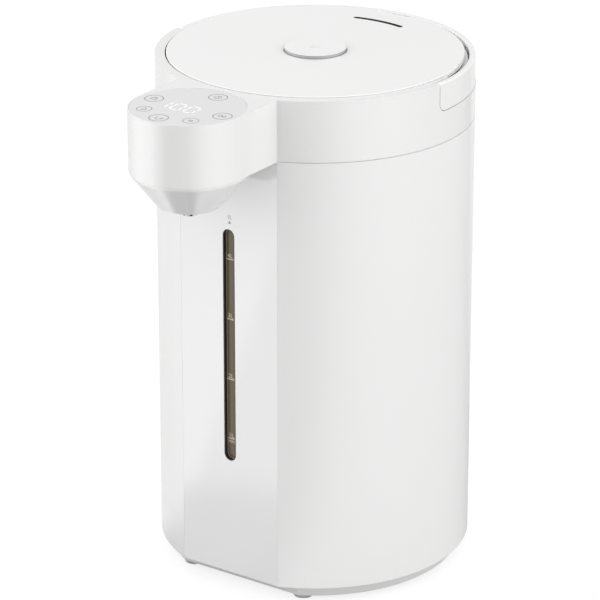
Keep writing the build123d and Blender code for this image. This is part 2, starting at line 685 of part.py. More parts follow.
def nozzle_cover():
    """The plate under the head with the cone that carries the nozzle."""
    half = HEAD_INNER - SEAT_GAP
    top = SHELL_TOP - SEAT_GAP
    cover = prism(head_outline(half, FRONT + SEAT_GAP), top, COVER_TOP)
    cover += Pos(0, -HEAD_REACH, 0) * rounded_cone(top)
    height = COVER_TOP - CONE_FLOOR
    low, top = CONE_LOW_RADIUS - CONE_WALL, HEAD_INNER - COVER_LEDGE
    cover -= Pos(0, -HEAD_REACH, CONE_FLOOR + height / 2) * Cone(low, top, height)
    return cover - disc(NOZZLE_RADIUS + SEAT_GAP, CONE_LOW, CONE_FLOOR, 0, -HEAD_REACH)


def spout_nozzle():
    """The nozzle with its seat flange and hose stub."""
    nozzle = disc(NOZZLE_RADIUS, NOZZLE_TIP, NOZZLE_SHOULDER, 0, -HEAD_REACH)
    nozzle += disc(NOZZLE_STUB_RADIUS, NOZZLE_SHOULDER, NOZZLE_TOP, 0, -HEAD_REACH)
    nozzle += disc(NOZZLE_FLANGE, CONE_FLOOR, CONE_FLOOR + NOZZLE_FLANGE_HEIGHT, 0, -HEAD_REACH)
    return nozzle - disc(NOZZLE_BORE, NOZZLE_TIP, NOZZLE_TOP, 0, -HEAD_REACH)


def touch_panel():
    """The round touch plate on top of the head."""
    return disc(TOUCH_RADIUS, TOUCH_LOW, TOUCH_TOP, 0, -HEAD_REACH - TOUCH_SHIFT)


def control_board():
    """The round circuit board under the touch panel."""
    board = disc(CONTROL_BOARD_RADIUS, CONTROL_LOW, CONTROL_TOP, 0, -HEAD_REACH)
    for x, y in head_places(BOARD_BOSS_PITCH_RADIUS, BOARD_BOSS_ANGLES):
        board -= disc(BOARD_SCREW_RADIUS + PRESS_FIT, CONTROL_LOW, CONTROL_TOP, x, y)
    return board - disc(WELL_OUTER + BODY_GAP, CONTROL_LOW, CONTROL_TOP)


def display_module():
    """The digit display that stands on the control board."""
    height = TOUCH_LOW - SEAT_GAP - CONTROL_TOP
    return centred((DISPLAY_LENGTH, DISPLAY_WIDTH, height), 0, -DISPLAY_OFFSET - HEAD_REACH, CONTROL_TOP)


def touch_pads():
    """Six sensing pads between the board and the touch panel."""
    places = head_places(KEY_PITCH_RADIUS, KEY_ANGLES)
    return Compound([disc(KEY_PAD_RADIUS, CONTROL_TOP, TOUCH_LOW, x, y) for x, y in places])


def board_screws():
    """Screws that hold the control board to the head."""
    screws = []
    for x, y in head_places(BOARD_BOSS_PITCH_RADIUS, BOARD_BOSS_ANGLES):
        head = disc(BOARD_SCREW_HEAD, CONTROL_LOW - BOARD_SCREW_HEIGHT, CONTROL_LOW, x, y)
        screws.append(head + disc(BOARD_SCREW_RADIUS, CONTROL_LOW, CONTROL_LOW + BOARD_SCREW_LENGTH, x, y))
    return Compound(screws)


def lid_cover():
    """The lid's top plate with skirt, steam slot, screw bosses and hinge barrel."""
    plate = disc(LID_RADIUS, LID_LOW, LID_TOP)
    plate = fillet(plate.edges().filter_by(GeomType.CIRCLE).sort_by(Axis.Z)[-1:], LID_ROUND)
    cover = plate + ring(LID_SKIRT_RADIUS, SKIRT_INNER, SKIRT_LOW, LID_LOW)
    half = BOLT_WIDTH / 2 + BODY_GAP
    cover -= block((-half, half), (-LID_RADIUS, -GASKET_INNER), (SKIRT_LOW, BOLT_TOP + BODY_GAP))
    cover -= disc(BUTTON_RADIUS + BODY_GAP, LID_LOW, LID_TOP)
    half_turn = math.degrees(VENT_HALF_LENGTH / VENT_RADIUS)
    arc = CenterArc((0, 0), VENT_RADIUS, 90 - half_turn, 2 * half_turn)
    cover -= prism(SlotArc(arc, VENT_WIDTH), LID_LOW, LID_TOP)
    notch = HINGE_HALF_LENGTH + BODY_GAP
    notch_back = HINGE_AXIS_Y - HINGE_BARREL - BODY_GAP
    cover -= block((-notch, notch), (notch_back, LID_RADIUS), (LID_LOW, LID_TOP))
    half = HINGE_TONGUE_HALF
    cover += rod(HINGE_BARREL, -half, half, HINGE_AXIS_Y, HINGE_Z)
    low, high = HINGE_Z - HINGE_BARREL / 2, HINGE_Z + HINGE_BARREL / 2
    cover += block((-half, half), (notch_back - LID_SKIRT_WALL, HINGE_AXIS_Y), (low, high))
    cover -= rod(HINGE_PIN_RADIUS + RUNNING_FIT, -half, half, HINGE_AXIS_Y, HINGE_Z)
    for angle in LID_SCREW_ANGLES:
        x, y = polar(LID_SCREW_PITCH_RADIUS, angle)
        cover += disc(LID_BOSS_RADIUS, LID_FLOOR_TOP, LID_LOW, x, y)
        cover -= disc(LID_SCREW_RADIUS + PRESS_FIT, LID_FLOOR_TOP, LID_LOW, x, y)
    return cover


def lid_inner():
    """The underside of the lid with the guides for the latch."""
    floor = disc(LID_SKIRT_RADIUS, FLOOR_LOW, LID_FLOOR_TOP)
    floor += ring(LID_SKIRT_RADIUS, SKIRT_INNER, LID_FLOOR_TOP, SKIRT_LOW)
    floor -= disc(STEAM_HOLE_RADIUS, FLOOR_LOW, LID_FLOOR_TOP, 0, VENT_RADIUS - STEAM_HOLE_INSET)
    for side in (-1, 1):
        x = side * (BOLT_WIDTH / 2 + BODY_GAP + RAIL_THICKNESS / 2)
        size = (RAIL_THICKNESS, RAIL_END - RAIL_START, BOLT_LIFT + BOLT_HEIGHT)
        floor += centred(size, x, -(RAIL_START + RAIL_END) / 2, LID_FLOOR_TOP)
    for y in (-RAIL_END + RAIL_THICKNESS, -RAIL_START - RAIL_THICKNESS):
        size = (BOLT_WIDTH + 2 * RAIL_THICKNESS, 2 * RAIL_THICKNESS, BOLT_LIFT - BODY_GAP)
        floor += centred(size, 0, y, LID_FLOOR_TOP)
    size = (LUG_REACH - BODY_GAP, LUG_THICKNESS, BOLT_LIFT + BOLT_HEIGHT)
    floor += centred(size, LUG_X + BODY_GAP, -SPRING_INNER_Y + LUG_THICKNESS / 2, LID_FLOOR_TOP)
    for angle in LID_SCREW_ANGLES:
        x, y = polar(LID_SCREW_PITCH_RADIUS, angle)
        floor -= disc(LID_SCREW_RADIUS + PRESS_FIT, FLOOR_LOW, LID_FLOOR_TOP, x, y)
        floor -= disc(LID_SCREW_HEAD + SEAT_GAP, FLOOR_LOW, FLOOR_LOW + LID_SCREW_HEAD_HEIGHT, x, y)
    return floor


def lid_gasket():
    """The seal ring under the lid."""
    return ring(GASKET_OUTER, GASKET_INNER, DECK_TOP + BODY_GAP, FLOOR_LOW)


def steam_duct():
    """The walled space that leads steam from the lid floor to the slot."""
    outer, inner = VENT_RADIUS + DUCT_MARGIN, VENT_RADIUS - DUCT_MARGIN - DUCT_WALL
    half_turn = math.degrees(DUCT_HALF_LENGTH / VENT_RADIUS)
    sector = back_sector(half_turn, LID_FLOOR_TOP, LID_LOW)
    duct = ring(outer, inner, LID_FLOOR_TOP, LID_LOW) & sector
    turn = math.degrees(DUCT_WALL / VENT_RADIUS)
    space = ring(outer - DUCT_WALL, inner + DUCT_WALL, LID_FLOOR_TOP, LID_LOW)
    return duct - (space & back_sector(half_turn - turn, LID_FLOOR_TOP, LID_LOW))


def lid_screws():
    """Screws that hold the lid floor to the lid cover."""
    screws = []
    for angle in LID_SCREW_ANGLES:
        x, y = polar(LID_SCREW_PITCH_RADIUS, angle)
        head = disc(LID_SCREW_HEAD, FLOOR_LOW, FLOOR_LOW + LID_SCREW_HEAD_HEIGHT, x, y)
        top = FLOOR_LOW + LID_SCREW_HEAD_HEIGHT + LID_SCREW_LENGTH
        screws.append(head + disc(LID_SCREW_RADIUS, FLOOR_LOW + LID_SCREW_HEAD_HEIGHT, top, x, y))
    return Compound(screws)


def lid_hinge_bracket():
    """The plate on the deck with two posts that hold the hinge pin."""
    half = HINGE_HALF_LENGTH
    back = HINGE_AXIS_Y + HINGE_POST_THICKNESS / 2
    bracket = block((-half, half), (back - HINGE_PLATE_DEPTH, back), (DECK_TOP, DECK_TOP + HINGE_PLATE))
    front = HINGE_AXIS_Y - HINGE_POST_THICKNESS / 2
    for side in (-1, 1):
        near, far = sorted((side * (HINGE_TONGUE_HALF + BODY_GAP), side * half))
        bracket += block((near, far), (front, back), (DECK_TOP, HINGE_Z))
        bracket += rod(HINGE_BARREL, near, far, HINGE_AXIS_Y, HINGE_Z)
    return bracket - rod(HINGE_PIN_RADIUS + PRESS_FIT, -half, half, HINGE_AXIS_Y, HINGE_Z)


def lid_hinge_pin():
    """The pin that the lid turns on."""
    return rod(HINGE_PIN_RADIUS, -HINGE_HALF_LENGTH, HINGE_HALF_LENGTH, HINGE_AXIS_Y, HINGE_Z)


def lid_button():
    """The push button with its lip, stem and the wedge that draws the latch back."""
    cap = disc(BUTTON_RADIUS, CAP_LOW, BUTTON_TOP)
    cap = fillet(cap.edges().filter_by(GeomType.CIRCLE).sort_by(Axis.Z)[-1:], BUTTON_ROUND)
    button = cap + ring(BUTTON_RADIUS, BUTTON_RADIUS - BUTTON_WALL, LIP_LOW, CAP_LOW)
    button += ring(BUTTON_RADIUS + BUTTON_LIP, BUTTON_RADIUS - BUTTON_WALL, LIP_LOW, LIP_TOP)
    button += disc(STEM_RADIUS, CAP_LOW - STEM_LENGTH, CAP_LOW)
    slope_inner = WEDGE_INNER - WEDGE_RISE
    slope_top = WEDGE_LOW + WEDGE_RISE
    points = [(-WEDGE_OUTER, CAP_LOW), (-WEDGE_OUTER, WEDGE_LOW), (-WEDGE_INNER, WEDGE_LOW)]
    points += [(-slope_inner, slope_top), (-slope_inner, CAP_LOW)]
    return button + side_profile(points, WEDGE_HALF_WIDTH)


def button_spring():
    """The spring that lifts the button."""
    length = CAP_LOW - BODY_GAP - LID_FLOOR_TOP
    spring = coil(BUTTON_SPRING_RADIUS, BUTTON_SPRING_WIRE, length, BUTTON_SPRING_TURNS)
    return Pos(0, 0, LID_FLOOR_TOP) * spring


def latch_bolt():
    """The sliding bolt with the sloped window that the wedge works in."""
    half = BOLT_WIDTH / 2
    bolt = block((-half, half), (-LID_RADIUS, -BOLT_INNER), (BOLT_LOW, BOLT_TOP))
    clear = BODY_GAP / math.sin(math.atan2(WEDGE_RISE, WEDGE_RISE))
    low_y = -WEDGE_INNER + (BOLT_LOW - WEDGE_LOW) + clear
    high_y = low_y + BOLT_HEIGHT
    outer_y = -WEDGE_OUTER - BUTTON_TRAVEL - BODY_GAP
    points = [(outer_y, BOLT_LOW), (low_y, BOLT_LOW), (high_y, BOLT_TOP), (outer_y, BOLT_TOP)]
    bolt -= side_profile(points, WEDGE_HALF_WIDTH + BODY_GAP)
    reach = half + LUG_REACH
    return bolt + block((half, reach), (-LUG_PLACE - LUG_THICKNESS / 2, -SPRING_OUTER_Y), (BOLT_LOW, BOLT_TOP))


def latch_spring():
    """The spring that pushes the bolt out."""
    length = LATCH_SPRING_LENGTH - BODY_GAP
    spring = coil(LATCH_SPRING_RADIUS, LATCH_SPRING_WIRE, length, LATCH_SPRING_TURNS)
    return Pos(LUG_X + BODY_GAP, -SPRING_INNER_Y, BOLT_MIDDLE) * Rot(90, 0, 0) * spring


def carry_handle():
    """The bow that lies flush round the back of the collar."""
    section = Pos(HANDLE_OUTER / 2, HANDLE_TOP - HANDLE_HEIGHT / 2) * Rectangle(HANDLE_OUTER, HANDLE_HEIGHT)
    section = fillet(section.vertices().group_by(Axis.Y)[-1].sort_by(Axis.X)[-1], HANDLE_EDGE)
    band = revolve(Plane.XZ * section, Axis.Z, 360)
    band -= disc(HANDLE_INNER, DECK_TOP, HANDLE_TOP)
    flare = Cone(HANDLE_INNER, HANDLE_INNER + HANDLE_CHAMFER, HANDLE_CHAMFER)
    band -= Pos(0, 0, HANDLE_TOP - HANDLE_CHAMFER / 2) * flare
    reach = BODY_RADIUS + HANDLE_END
    face = Plane.YZ * Pos(reach / 2 - HANDLE_END, HANDLE_TOP - HANDLE_HEIGHT / 2) * Rectangle(reach, HANDLE_HEIGHT)
    face = fillet(face.vertices().group_by(Axis.Z)[-1].sort_by(Axis.Y)[0], HANDLE_TOP_ROUND)
    face = fillet(face.vertices().group_by(Axis.Z)[0].sort_by(Axis.Y)[0], HANDLE_LOW_ROUND)
    handle = band & extrude(face, amount=BODY_RADIUS, both=True)
    reach = HANDLE_OUTER - PIVOT_CAP
    return handle - rod(PIVOT_RADIUS + RUNNING_FIT, -reach, reach, -PIVOT_BACK, PIVOT_Z)


def handle_pivots():
    """Two pins that the handle turns on."""
    start = WELL_RADIUS + SEAT_GAP
    end = HANDLE_OUTER - PIVOT_CAP - BODY_GAP
    right = rod(PIVOT_RADIUS, start, end, -PIVOT_BACK, PIVOT_Z)
    left = rod(PIVOT_RADIUS, -end, -start, -PIVOT_BACK, PIVOT_Z)
    return Compound([left, right])


def inner_tank():
    """The deep drawn tank with its flange and outlet spigot."""
    y = TANK_SETBACK
    outer = disc(TANK_OUTER, TANK_LOW, FLANGE_TOP, 0, y)
    outer = fillet(outer.edges().filter_by(GeomType.CIRCLE).sort_by(Axis.Z)[:1], TANK_CORNER + TANK_WALL)
    inner = disc(TANK_RADIUS, TANK_LOW + TANK_WALL, FLANGE_TOP, 0, y)
    inner = fillet(inner.edges().filter_by(GeomType.CIRCLE).sort_by(Axis.Z)[:1], TANK_CORNER)
    tank = outer + disc(TANK_FLANGE, FLANGE_LOW, FLANGE_TOP, 0, y) - inner
    tank += disc(STUB_RADIUS, SPIGOT_LOW, TANK_LOW + TANK_WALL, PUMP_X, PUMP_Y)
    tank -= disc(STUB_BORE, SPIGOT_LOW, TANK_LOW + TANK_WALL, PUMP_X, PUMP_Y)
    for place in tank_places():
        tank -= disc(TANK_SCREW_RADIUS + PRESS_FIT, FLANGE_LOW, FLANGE_TOP, *place)
    return tank


def tank_seal():
    """The seal between the tank flange and the deck."""
    return ring(SEAL_OUTER, SEAL_INNER, FLANGE_TOP, DECK_LOW, 0, TANK_SETBACK)


def tank_screws():
    """Screws that hang the tank from the deck."""
    screws = []
    for x, y in tank_places():
        head = disc(TANK_SCREW_HEAD, FLANGE_LOW - TANK_SCREW_HEIGHT, FLANGE_LOW, x, y)
        screws.append(head + disc(TANK_SCREW_RADIUS, FLANGE_LOW, FLANGE_LOW + TANK_SCREW_LENGTH, x, y))
    return Compound(screws)


def insulation_sleeve():
    """The felt sleeve round the tank, open at the front for the riser."""
    sleeve = ring(SLEEVE_OUTER, SLEEVE_INNER, SLEEVE_LOW, SLEEVE_HIGH, 0, TANK_SETBACK)
    front = (-BODY_RADIUS, 0)
    return sleeve - block((-SLEEVE_CUT, SLEEVE_CUT), front, (SLEEVE_LOW, SLEEVE_HIGH))


def heater_plate():
    """The heating plate under the tank."""
    return disc(HEATER_RADIUS, HEATER_LOW, TANK_LOW, 0, TANK_SETBACK)


def thermostat():
    """The cut-out under the heater plate."""
    y = TANK_SETBACK + THERMOSTAT_OFFSET
    return disc(THERMOSTAT_RADIUS, HEATER_LOW - THERMOSTAT_HEIGHT, HEATER_LOW, THERMOSTAT_OFFSET, y)


def temperature_sensor():
    """The sensor pressed against the tank bottom."""
    return disc(SENSOR_RADIUS, TANK_LOW - SENSOR_HEIGHT, TANK_LOW, SENSOR_X, TANK_SETBACK)


def pump_housing():
    """The pump casing with inlet and outlet stubs."""
    x, y = PUMP_X, PUMP_Y
    floor = PUMP_LOW + CHAMBER_FLOOR
    pump = disc(PUMP_RADIUS, PUMP_LOW, PUMP_TOP, x, y) + disc(STUB_RADIUS, PUMP_TOP, STUB_TOP, x, y)
    pump += rod(OUTLET_RADIUS, x, OUTLET_END, OUTLET_Y, OUTLET_Z)
    pump -= disc(CHAMBER_RADIUS, floor, floor + CHAMBER_HEIGHT, x, y)
    pump -= rod(OUTLET_BORE, x, OUTLET_END, OUTLET_Y, OUTLET_Z)
    pump -= disc(STUB_BORE, floor, STUB_TOP, x, y)
    return pump - disc(SHAFT_RADIUS + RUNNING_FIT, PUMP_LOW, floor, x, y)


def pump_impeller():
    """The impeller with its vanes and shaft."""
    top = IMPELLER_LOW + IMPELLER_DISC
    impeller = disc(IMPELLER_RADIUS, IMPELLER_LOW, top) + disc(HUB_RADIUS, top, top + VANE_HEIGHT)
    length = IMPELLER_RADIUS - VANE_THICKNESS
    for index in range(VANE_COUNT):
        vane = centred((length, VANE_THICKNESS, VANE_HEIGHT), length / 2, 0, top)
        impeller += Rot(0, 0, index * 360 / VANE_COUNT) * vane
    impeller += disc(SHAFT_RADIUS, PUMP_LOW - SHAFT_LENGTH, IMPELLER_LOW)
    return Pos(PUMP_X, PUMP_Y, 0) * impeller


def pump_motor():
    """The motor that hangs below the pump casing."""
    motor = disc(MOTOR_RADIUS, MOTOR_LOW, PUMP_LOW, PUMP_X, PUMP_Y)
    low = PUMP_LOW - SHAFT_LENGTH - BODY_GAP
    return motor - disc(SHAFT_RADIUS + RUNNING_FIT, low, PUMP_LOW, PUMP_X, PUMP_Y)


def pump_inlet_hose():
    """The short sleeve between the tank and the pump."""
    inner = STUB_RADIUS + RUNNING_FIT
    low, high = STUB_TOP - SLEEVE_HOSE_GRIP, SPIGOT_LOW + SLEEVE_HOSE_GRIP
    return ring(inner + SLEEVE_HOSE_WALL, inner, low, high, PUMP_X, PUMP_Y)


def pump_outlet_hose():
    """The hose from the pump to the foot of the riser."""
    points = [(OUTLET_END - HOSE_GRIP, OUTLET_Y, OUTLET_Z), (0, OUTLET_Y, OUTLET_Z)]
    points += [(0, RISER_Y, OUTLET_Z), (0, RISER_Y, RISER_LOW + HOSE_GRIP)]
    return hose(points, HOSE_BEND, HOSE_OUTER, HOSE_INNER)


def riser_tube():
    """The clear riser behind the gauge window."""
    return ring(RISER_RADIUS, RISER_BORE, RISER_LOW, RISER_HIGH, 0, RISER_Y)


def outlet_hose():
    """The hose from the top of the riser to the nozzle."""
    points = [(0, RISER_Y, RISER_HIGH - HOSE_GRIP), (0, RISER_Y, OUTLET_TOP)]
    points += [(0, -HEAD_REACH, OUTLET_TOP), (0, -HEAD_REACH, NOZZLE_TOP - NOZZLE_HOSE_GRIP)]
    return hose(points, HOSE_BEND, HOSE_OUTER, HOSE_INNER)


def hose_clips():
    """Clips on the four hose ends."""
    low = RISER_LOW + CLIP_INSET
    high = RISER_HIGH - CLIP_INSET
    bottom = ring(CLIP_OUTER, CLIP_INNER, low, low + CLIP_LENGTH, 0, RISER_Y)
    top = ring(CLIP_OUTER, CLIP_INNER, high - CLIP_LENGTH, high, 0, RISER_Y)
    tip = NOZZLE_TOP - CLIP_INSET
    spout = ring(CLIP_OUTER, CLIP_INNER, tip - CLIP_LENGTH, tip, 0, -HEAD_REACH)
    start, end = OUTLET_END - CLIP_INSET - CLIP_LENGTH, OUTLET_END - CLIP_INSET
    pump = rod(CLIP_OUTER, start, end, OUTLET_Y, OUTLET_Z) - rod(CLIP_INNER, start, end, OUTLET_Y, OUTLET_Z)
    return Compound([bottom, top, spout, pump])


def power_board():
    """The mains board on its standoffs."""
    size = (POWER_BOARD_LENGTH, POWER_BOARD_WIDTH, POWER_BOARD_THICKNESS)
    return centred(size, BOARD_X, BOARD_Y, BOARD_LOW)


def board_parts():
    """Relay, transformer and capacitor on the mains board."""
    x, y = BOARD_X, BOARD_Y
    relay = centred(RELAY_SIZE, x + RELAY_PLACE[0], y + RELAY_PLACE[1], BOARD_TOP)
    transformer = centred(TRANSFORMER_SIZE, x + TRANSFORMER_PLACE[0], y + TRANSFORMER_PLACE[1], BOARD_TOP)
    place = (x + CAPACITOR_PLACE[0], y + CAPACITOR_PLACE[1])
    capacitor = disc(CAPACITOR_RADIUS, BOARD_TOP, BOARD_TOP + CAPACITOR_HEIGHT, *place)
    return Compound([relay, transformer, capacitor])


def contact_places():
    """Where the two inlet contacts lie, as X and Z."""
    z = INLET_LOW + INLET_HEIGHT / 2
    return [(-CONTACT_SPACING / 2, z), (CONTACT_SPACING / 2, z)]


def along_y(radius, start, end, x, z):
    """A cylinder along Y."""
    length = end - start
    return Pos(x, start + length / 2, z) * Rot(90, 0, 0) * Cylinder(radius, length)


def power_inlet():
    """The power socket in the back of the shell."""
    half = INLET_WIDTH / 2
    high = INLET_LOW + INLET_HEIGHT
    socket = block((-half, half), (INLET_BACK, INLET_FACE), (INLET_LOW, high))
    wide = half + INLET_FLANGE
    flange_y = (INLET_BACK, INLET_BACK + INLET_FLANGE_THICKNESS)
    socket += block((-wide, wide), flange_y, (INLET_LOW - INLET_FLANGE, high + INLET_FLANGE))
    for x, z in contact_places():
        start = INLET_FACE - CONTACT_LENGTH + CONTACT_PROUD
        socket -= along_y(CONTACT_RADIUS + PRESS_FIT, start, INLET_FACE, x, z)
    return socket


def inlet_contacts():
    """The two contacts in the power socket."""
    start, end = INLET_FACE - CONTACT_LENGTH + CONTACT_PROUD, INLET_FACE + CONTACT_PROUD
    return Compound([along_y(CONTACT_RADIUS, start, end, x, z) for x, z in contact_places()])


def base_skirt(inset, low, high):
    """The tapered base between two heights, set in from its outer face."""
    span = SHELL_LOW - BASE_LOW
    sections = []
    for z in (low, high):
        step = BASE_STEP + BASE_TAPER * (SHELL_LOW - z) / span + inset
        sections.append(Pos(0, 0, z) * d_outline(BODY_RADIUS - step, FRONT - step - BASE_FLAT_STEP))
    return loft(sections, ruled=True)


def base_cover():
    """The base with its floor, seats for feet and screws, and carriers for the electrics."""
    base = base_skirt(0, BASE_LOW, SHELL_LOW)
    flange = d_outline(BODY_RADIUS - FLANGE_STEP, FRONT - FLANGE_STEP)
    base += prism(flange, SHELL_LOW - BASE_FLANGE, SHELL_LOW)
    base -= base_skirt(BASE_WALL, FLOOR_TOP, SHELL_LOW)
    base += ring(MOTOR_RADIUS, MOTOR_RADIUS - BASE_WALL, FLOOR_TOP, MOTOR_LOW, PUMP_X, PUMP_Y)
    for x, y in standoff_places():
        base += disc(STANDOFF_RADIUS, FLOOR_TOP, BOARD_LOW, x, y)
    for x, y in foot_places():
        base -= disc(FOOT_RADIUS + SEAT_GAP, BASE_LOW, BASE_LOW + FOOT_SEAT, x, y)
    for x, y in post_places():
        base += disc(POST_RADIUS, FLOOR_TOP, SHELL_LOW, x, y)
        base -= disc(BASE_SCREW_RADIUS + PRESS_FIT, BASE_LOW, SHELL_LOW, x, y)
        base -= disc(BASE_SCREW_HEAD + SEAT_GAP, BASE_LOW, BASE_SCREW_SEAT, x, y)
    return base


def rubber_feet():
    """Four feet seated in the base."""
    return Compound([disc(FOOT_RADIUS, 0, BASE_LOW + FOOT_SEAT, x, y) for x, y in foot_places()])


def base_screws():
    """Screws that hold the base to the shell."""
    screws = []
    for x, y in post_places():
        head = disc(BASE_SCREW_HEAD, BASE_SCREW_LOW, BASE_SCREW_SEAT, x, y)
        screws.append(head + disc(BASE_SCREW_RADIUS, BASE_SCREW_SEAT, SHELL_LOW + BASE_SCREW_BITE, x, y))
    return Compound(screws)


NODES = {
    "body_shell": body_shell, "front_panel": front_panel, "gauge_window": gauge_window,
    "top_housing": top_housing, "nozzle_cover": nozzle_cover, "spout_nozzle": spout_nozzle,
    "touch_panel": touch_panel, "control_board": control_board, "display_module": display_module,
    "touch_pads": touch_pads, "board_screws": board_screws, "lid_cover": lid_cover,
    "lid_inner": lid_inner, "lid_gasket": lid_gasket, "steam_duct": steam_duct,
    "lid_screws": lid_screws, "lid_hinge_bracket": lid_hinge_bracket, "lid_hinge_pin": lid_hinge_pin,
    "lid_button": lid_button, "button_spring": button_spring, "latch_bolt": latch_bolt,
    "latch_spring": latch_spring, "carry_handle": carry_handle, "handle_pivots": handle_pivots,
    "inner_tank": inner_tank, "tank_seal": tank_seal, "tank_screws": tank_screws,
    "insulation_sleeve": insulation_sleeve, "heater_plate": heater_plate, "thermostat": thermostat,
    "temperature_sensor": temperature_sensor, "pump_housing": pump_housing,
    "pump_impeller": pump_impeller, "pump_motor": pump_motor, "pump_inlet_hose": pump_inlet_hose,
    "pump_outlet_hose": pump_outlet_hose, "riser_tube": riser_tube, "outlet_hose": outlet_hose,
    "hose_clips": hose_clips, "power_board": power_board, "board_parts": board_parts,
    "power_inlet": power_inlet, "inlet_contacts": inlet_contacts, "base_cover": base_cover,
    "rubber_feet": rubber_feet, "base_screws": base_screws,
}

for name, make in NODES.items():
    export_step(Pos(0, CENTRE_SHIFT, 0) * make(), f"parts/{name}.step")
    print("made", name)
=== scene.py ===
"""Looks of a white hot water dispenser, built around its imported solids."""
import logging
import math
from dataclasses import dataclass
from enum import Enum
from typing import NamedTuple

import bmesh
import bpy
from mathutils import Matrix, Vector


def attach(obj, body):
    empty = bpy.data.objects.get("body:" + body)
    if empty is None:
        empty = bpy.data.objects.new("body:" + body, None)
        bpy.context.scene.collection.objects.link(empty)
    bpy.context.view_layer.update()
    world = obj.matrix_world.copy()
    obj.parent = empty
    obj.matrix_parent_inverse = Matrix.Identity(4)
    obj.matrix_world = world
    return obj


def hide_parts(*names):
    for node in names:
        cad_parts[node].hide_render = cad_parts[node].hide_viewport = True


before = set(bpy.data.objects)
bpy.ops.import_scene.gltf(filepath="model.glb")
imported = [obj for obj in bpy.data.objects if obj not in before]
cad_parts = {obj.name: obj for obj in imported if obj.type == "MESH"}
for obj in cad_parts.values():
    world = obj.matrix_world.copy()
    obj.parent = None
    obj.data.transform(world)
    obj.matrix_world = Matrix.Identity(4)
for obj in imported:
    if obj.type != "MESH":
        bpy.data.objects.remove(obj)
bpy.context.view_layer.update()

MM = 0.001
AXIS_SHIFT = 36.0
SUNK = -0.02
ARC_STEPS = 24
LOG = logging.getLogger("dispenser")

Pair = tuple[float, float]
Point = tuple[float, float, float]
Colour = tuple[float, float, float]
Socket = bpy.types.NodeSocket
Feed = float | str | tuple[float, ...] | Vector | bpy.types.NodeSocket
Inputs = dict[str | int, Feed]

RIGHT: Point = (1.0, 0.0, 0.0)
FRONT: Point = (0.0, -1.0, 0.0)
BACK: Point = (0.0, 1.0, 0.0)
UP: Point = (0.0, 0.0, 1.0)


class Body(str, Enum):
    """The moving bodies that pieces ride on."""

    HOUSING = "housing"
    LID = "lid"
    BUTTON = "button"


def place(x: float, y: float, z: float) -> Vector:
    """Turn a place drawn about the body axis in millimetres into metres in the shared frame.

    Args:
        x: Distance to the right, seen from the front.
        y: Distance behind the body axis.
        z: Height above the floor.

    Returns:
        The same place in metres.
    """
    return Vector((x * MM, (y + AXIS_SHIFT) * MM, z * MM))


def ring(radius: float, angles: tuple[float, ...], height: float) -> list[Vector]:
    """List places on a level circle about the body axis.

    Args:
        radius: The circle's radius in millimetres.
        angles: The places' angles in degrees.
        height: The circle's height in millimetres.

    Returns:
        The places in metres in the shared frame.
    """
    turns = [math.radians(angle) for angle in angles]
    return [place(radius * math.cos(a), radius * math.sin(a), height) for a in turns]


def arc(u: float, v: float, radius: float, start: float, end: float, steps: int = 20) -> list[Pair]:
    """List points of an arc on a face.

    Args:
        u: Its middle across the face.
        v: Its middle up the face.
        radius: Its radius.
        start: First angle in degrees.
        end: Last angle in degrees.
        steps: How many runs it has.

    Returns:
        The arc's points.
    """
    turns = [math.radians(start + (end - start) * k / steps) for k in range(steps + 1)]
    return [(u + radius * math.cos(a), v + radius * math.sin(a)) for a in turns]


def heading(azimuth: float) -> Vector:
    """Give the level direction at a turn from the front, to the right.

    Args:
        azimuth: The turn in degrees.

    Returns:
        The direction as a unit vector.
    """
    turn = math.radians(azimuth)
    return Vector((math.sin(turn), -math.cos(turn), 0.0))


def radians(ends: Pair) -> Pair:
    """Turn two angles in degrees into radians.

    Args:
        ends: The angles in degrees.

    Returns:
        The angles in radians.
    """
    return math.radians(ends[0]), math.radians(ends[1])


def rgba(colour: Colour) -> tuple[float, ...]:
    """Make a colour opaque.

    Args:
        colour: Red, green and blue.

    Returns:
        The colour with full alpha.
    """
    return (*colour, 1.0)


def show(name: str, data: bpy.types.ID) -> bpy.types.Object:
    """Put data into the scene as an object.

    Args:
        name: The object's name.
        data: Its mesh, curve or camera.

    Returns:
        The object.
    """
    made = bpy.data.objects.new(name, data)
    bpy.context.scene.collection.objects.link(made)
    return made


def plain_mesh(source: bpy.types.Object, *helpers: bpy.types.Object) -> bpy.types.Mesh:
    """Keep an object's finished shape as a plain mesh, and remove the object.

    Args:
        source: The object, with its modifiers.
        helpers: Other objects that its shape needed, removed with it.

    Returns:
        The mesh.
    """
    made = bpy.data.meshes.new_from_object(source.evaluated_get(bpy.context.evaluated_depsgraph_get()))
    for thing in (source, *helpers):
        bpy.data.objects.remove(thing)
    return made


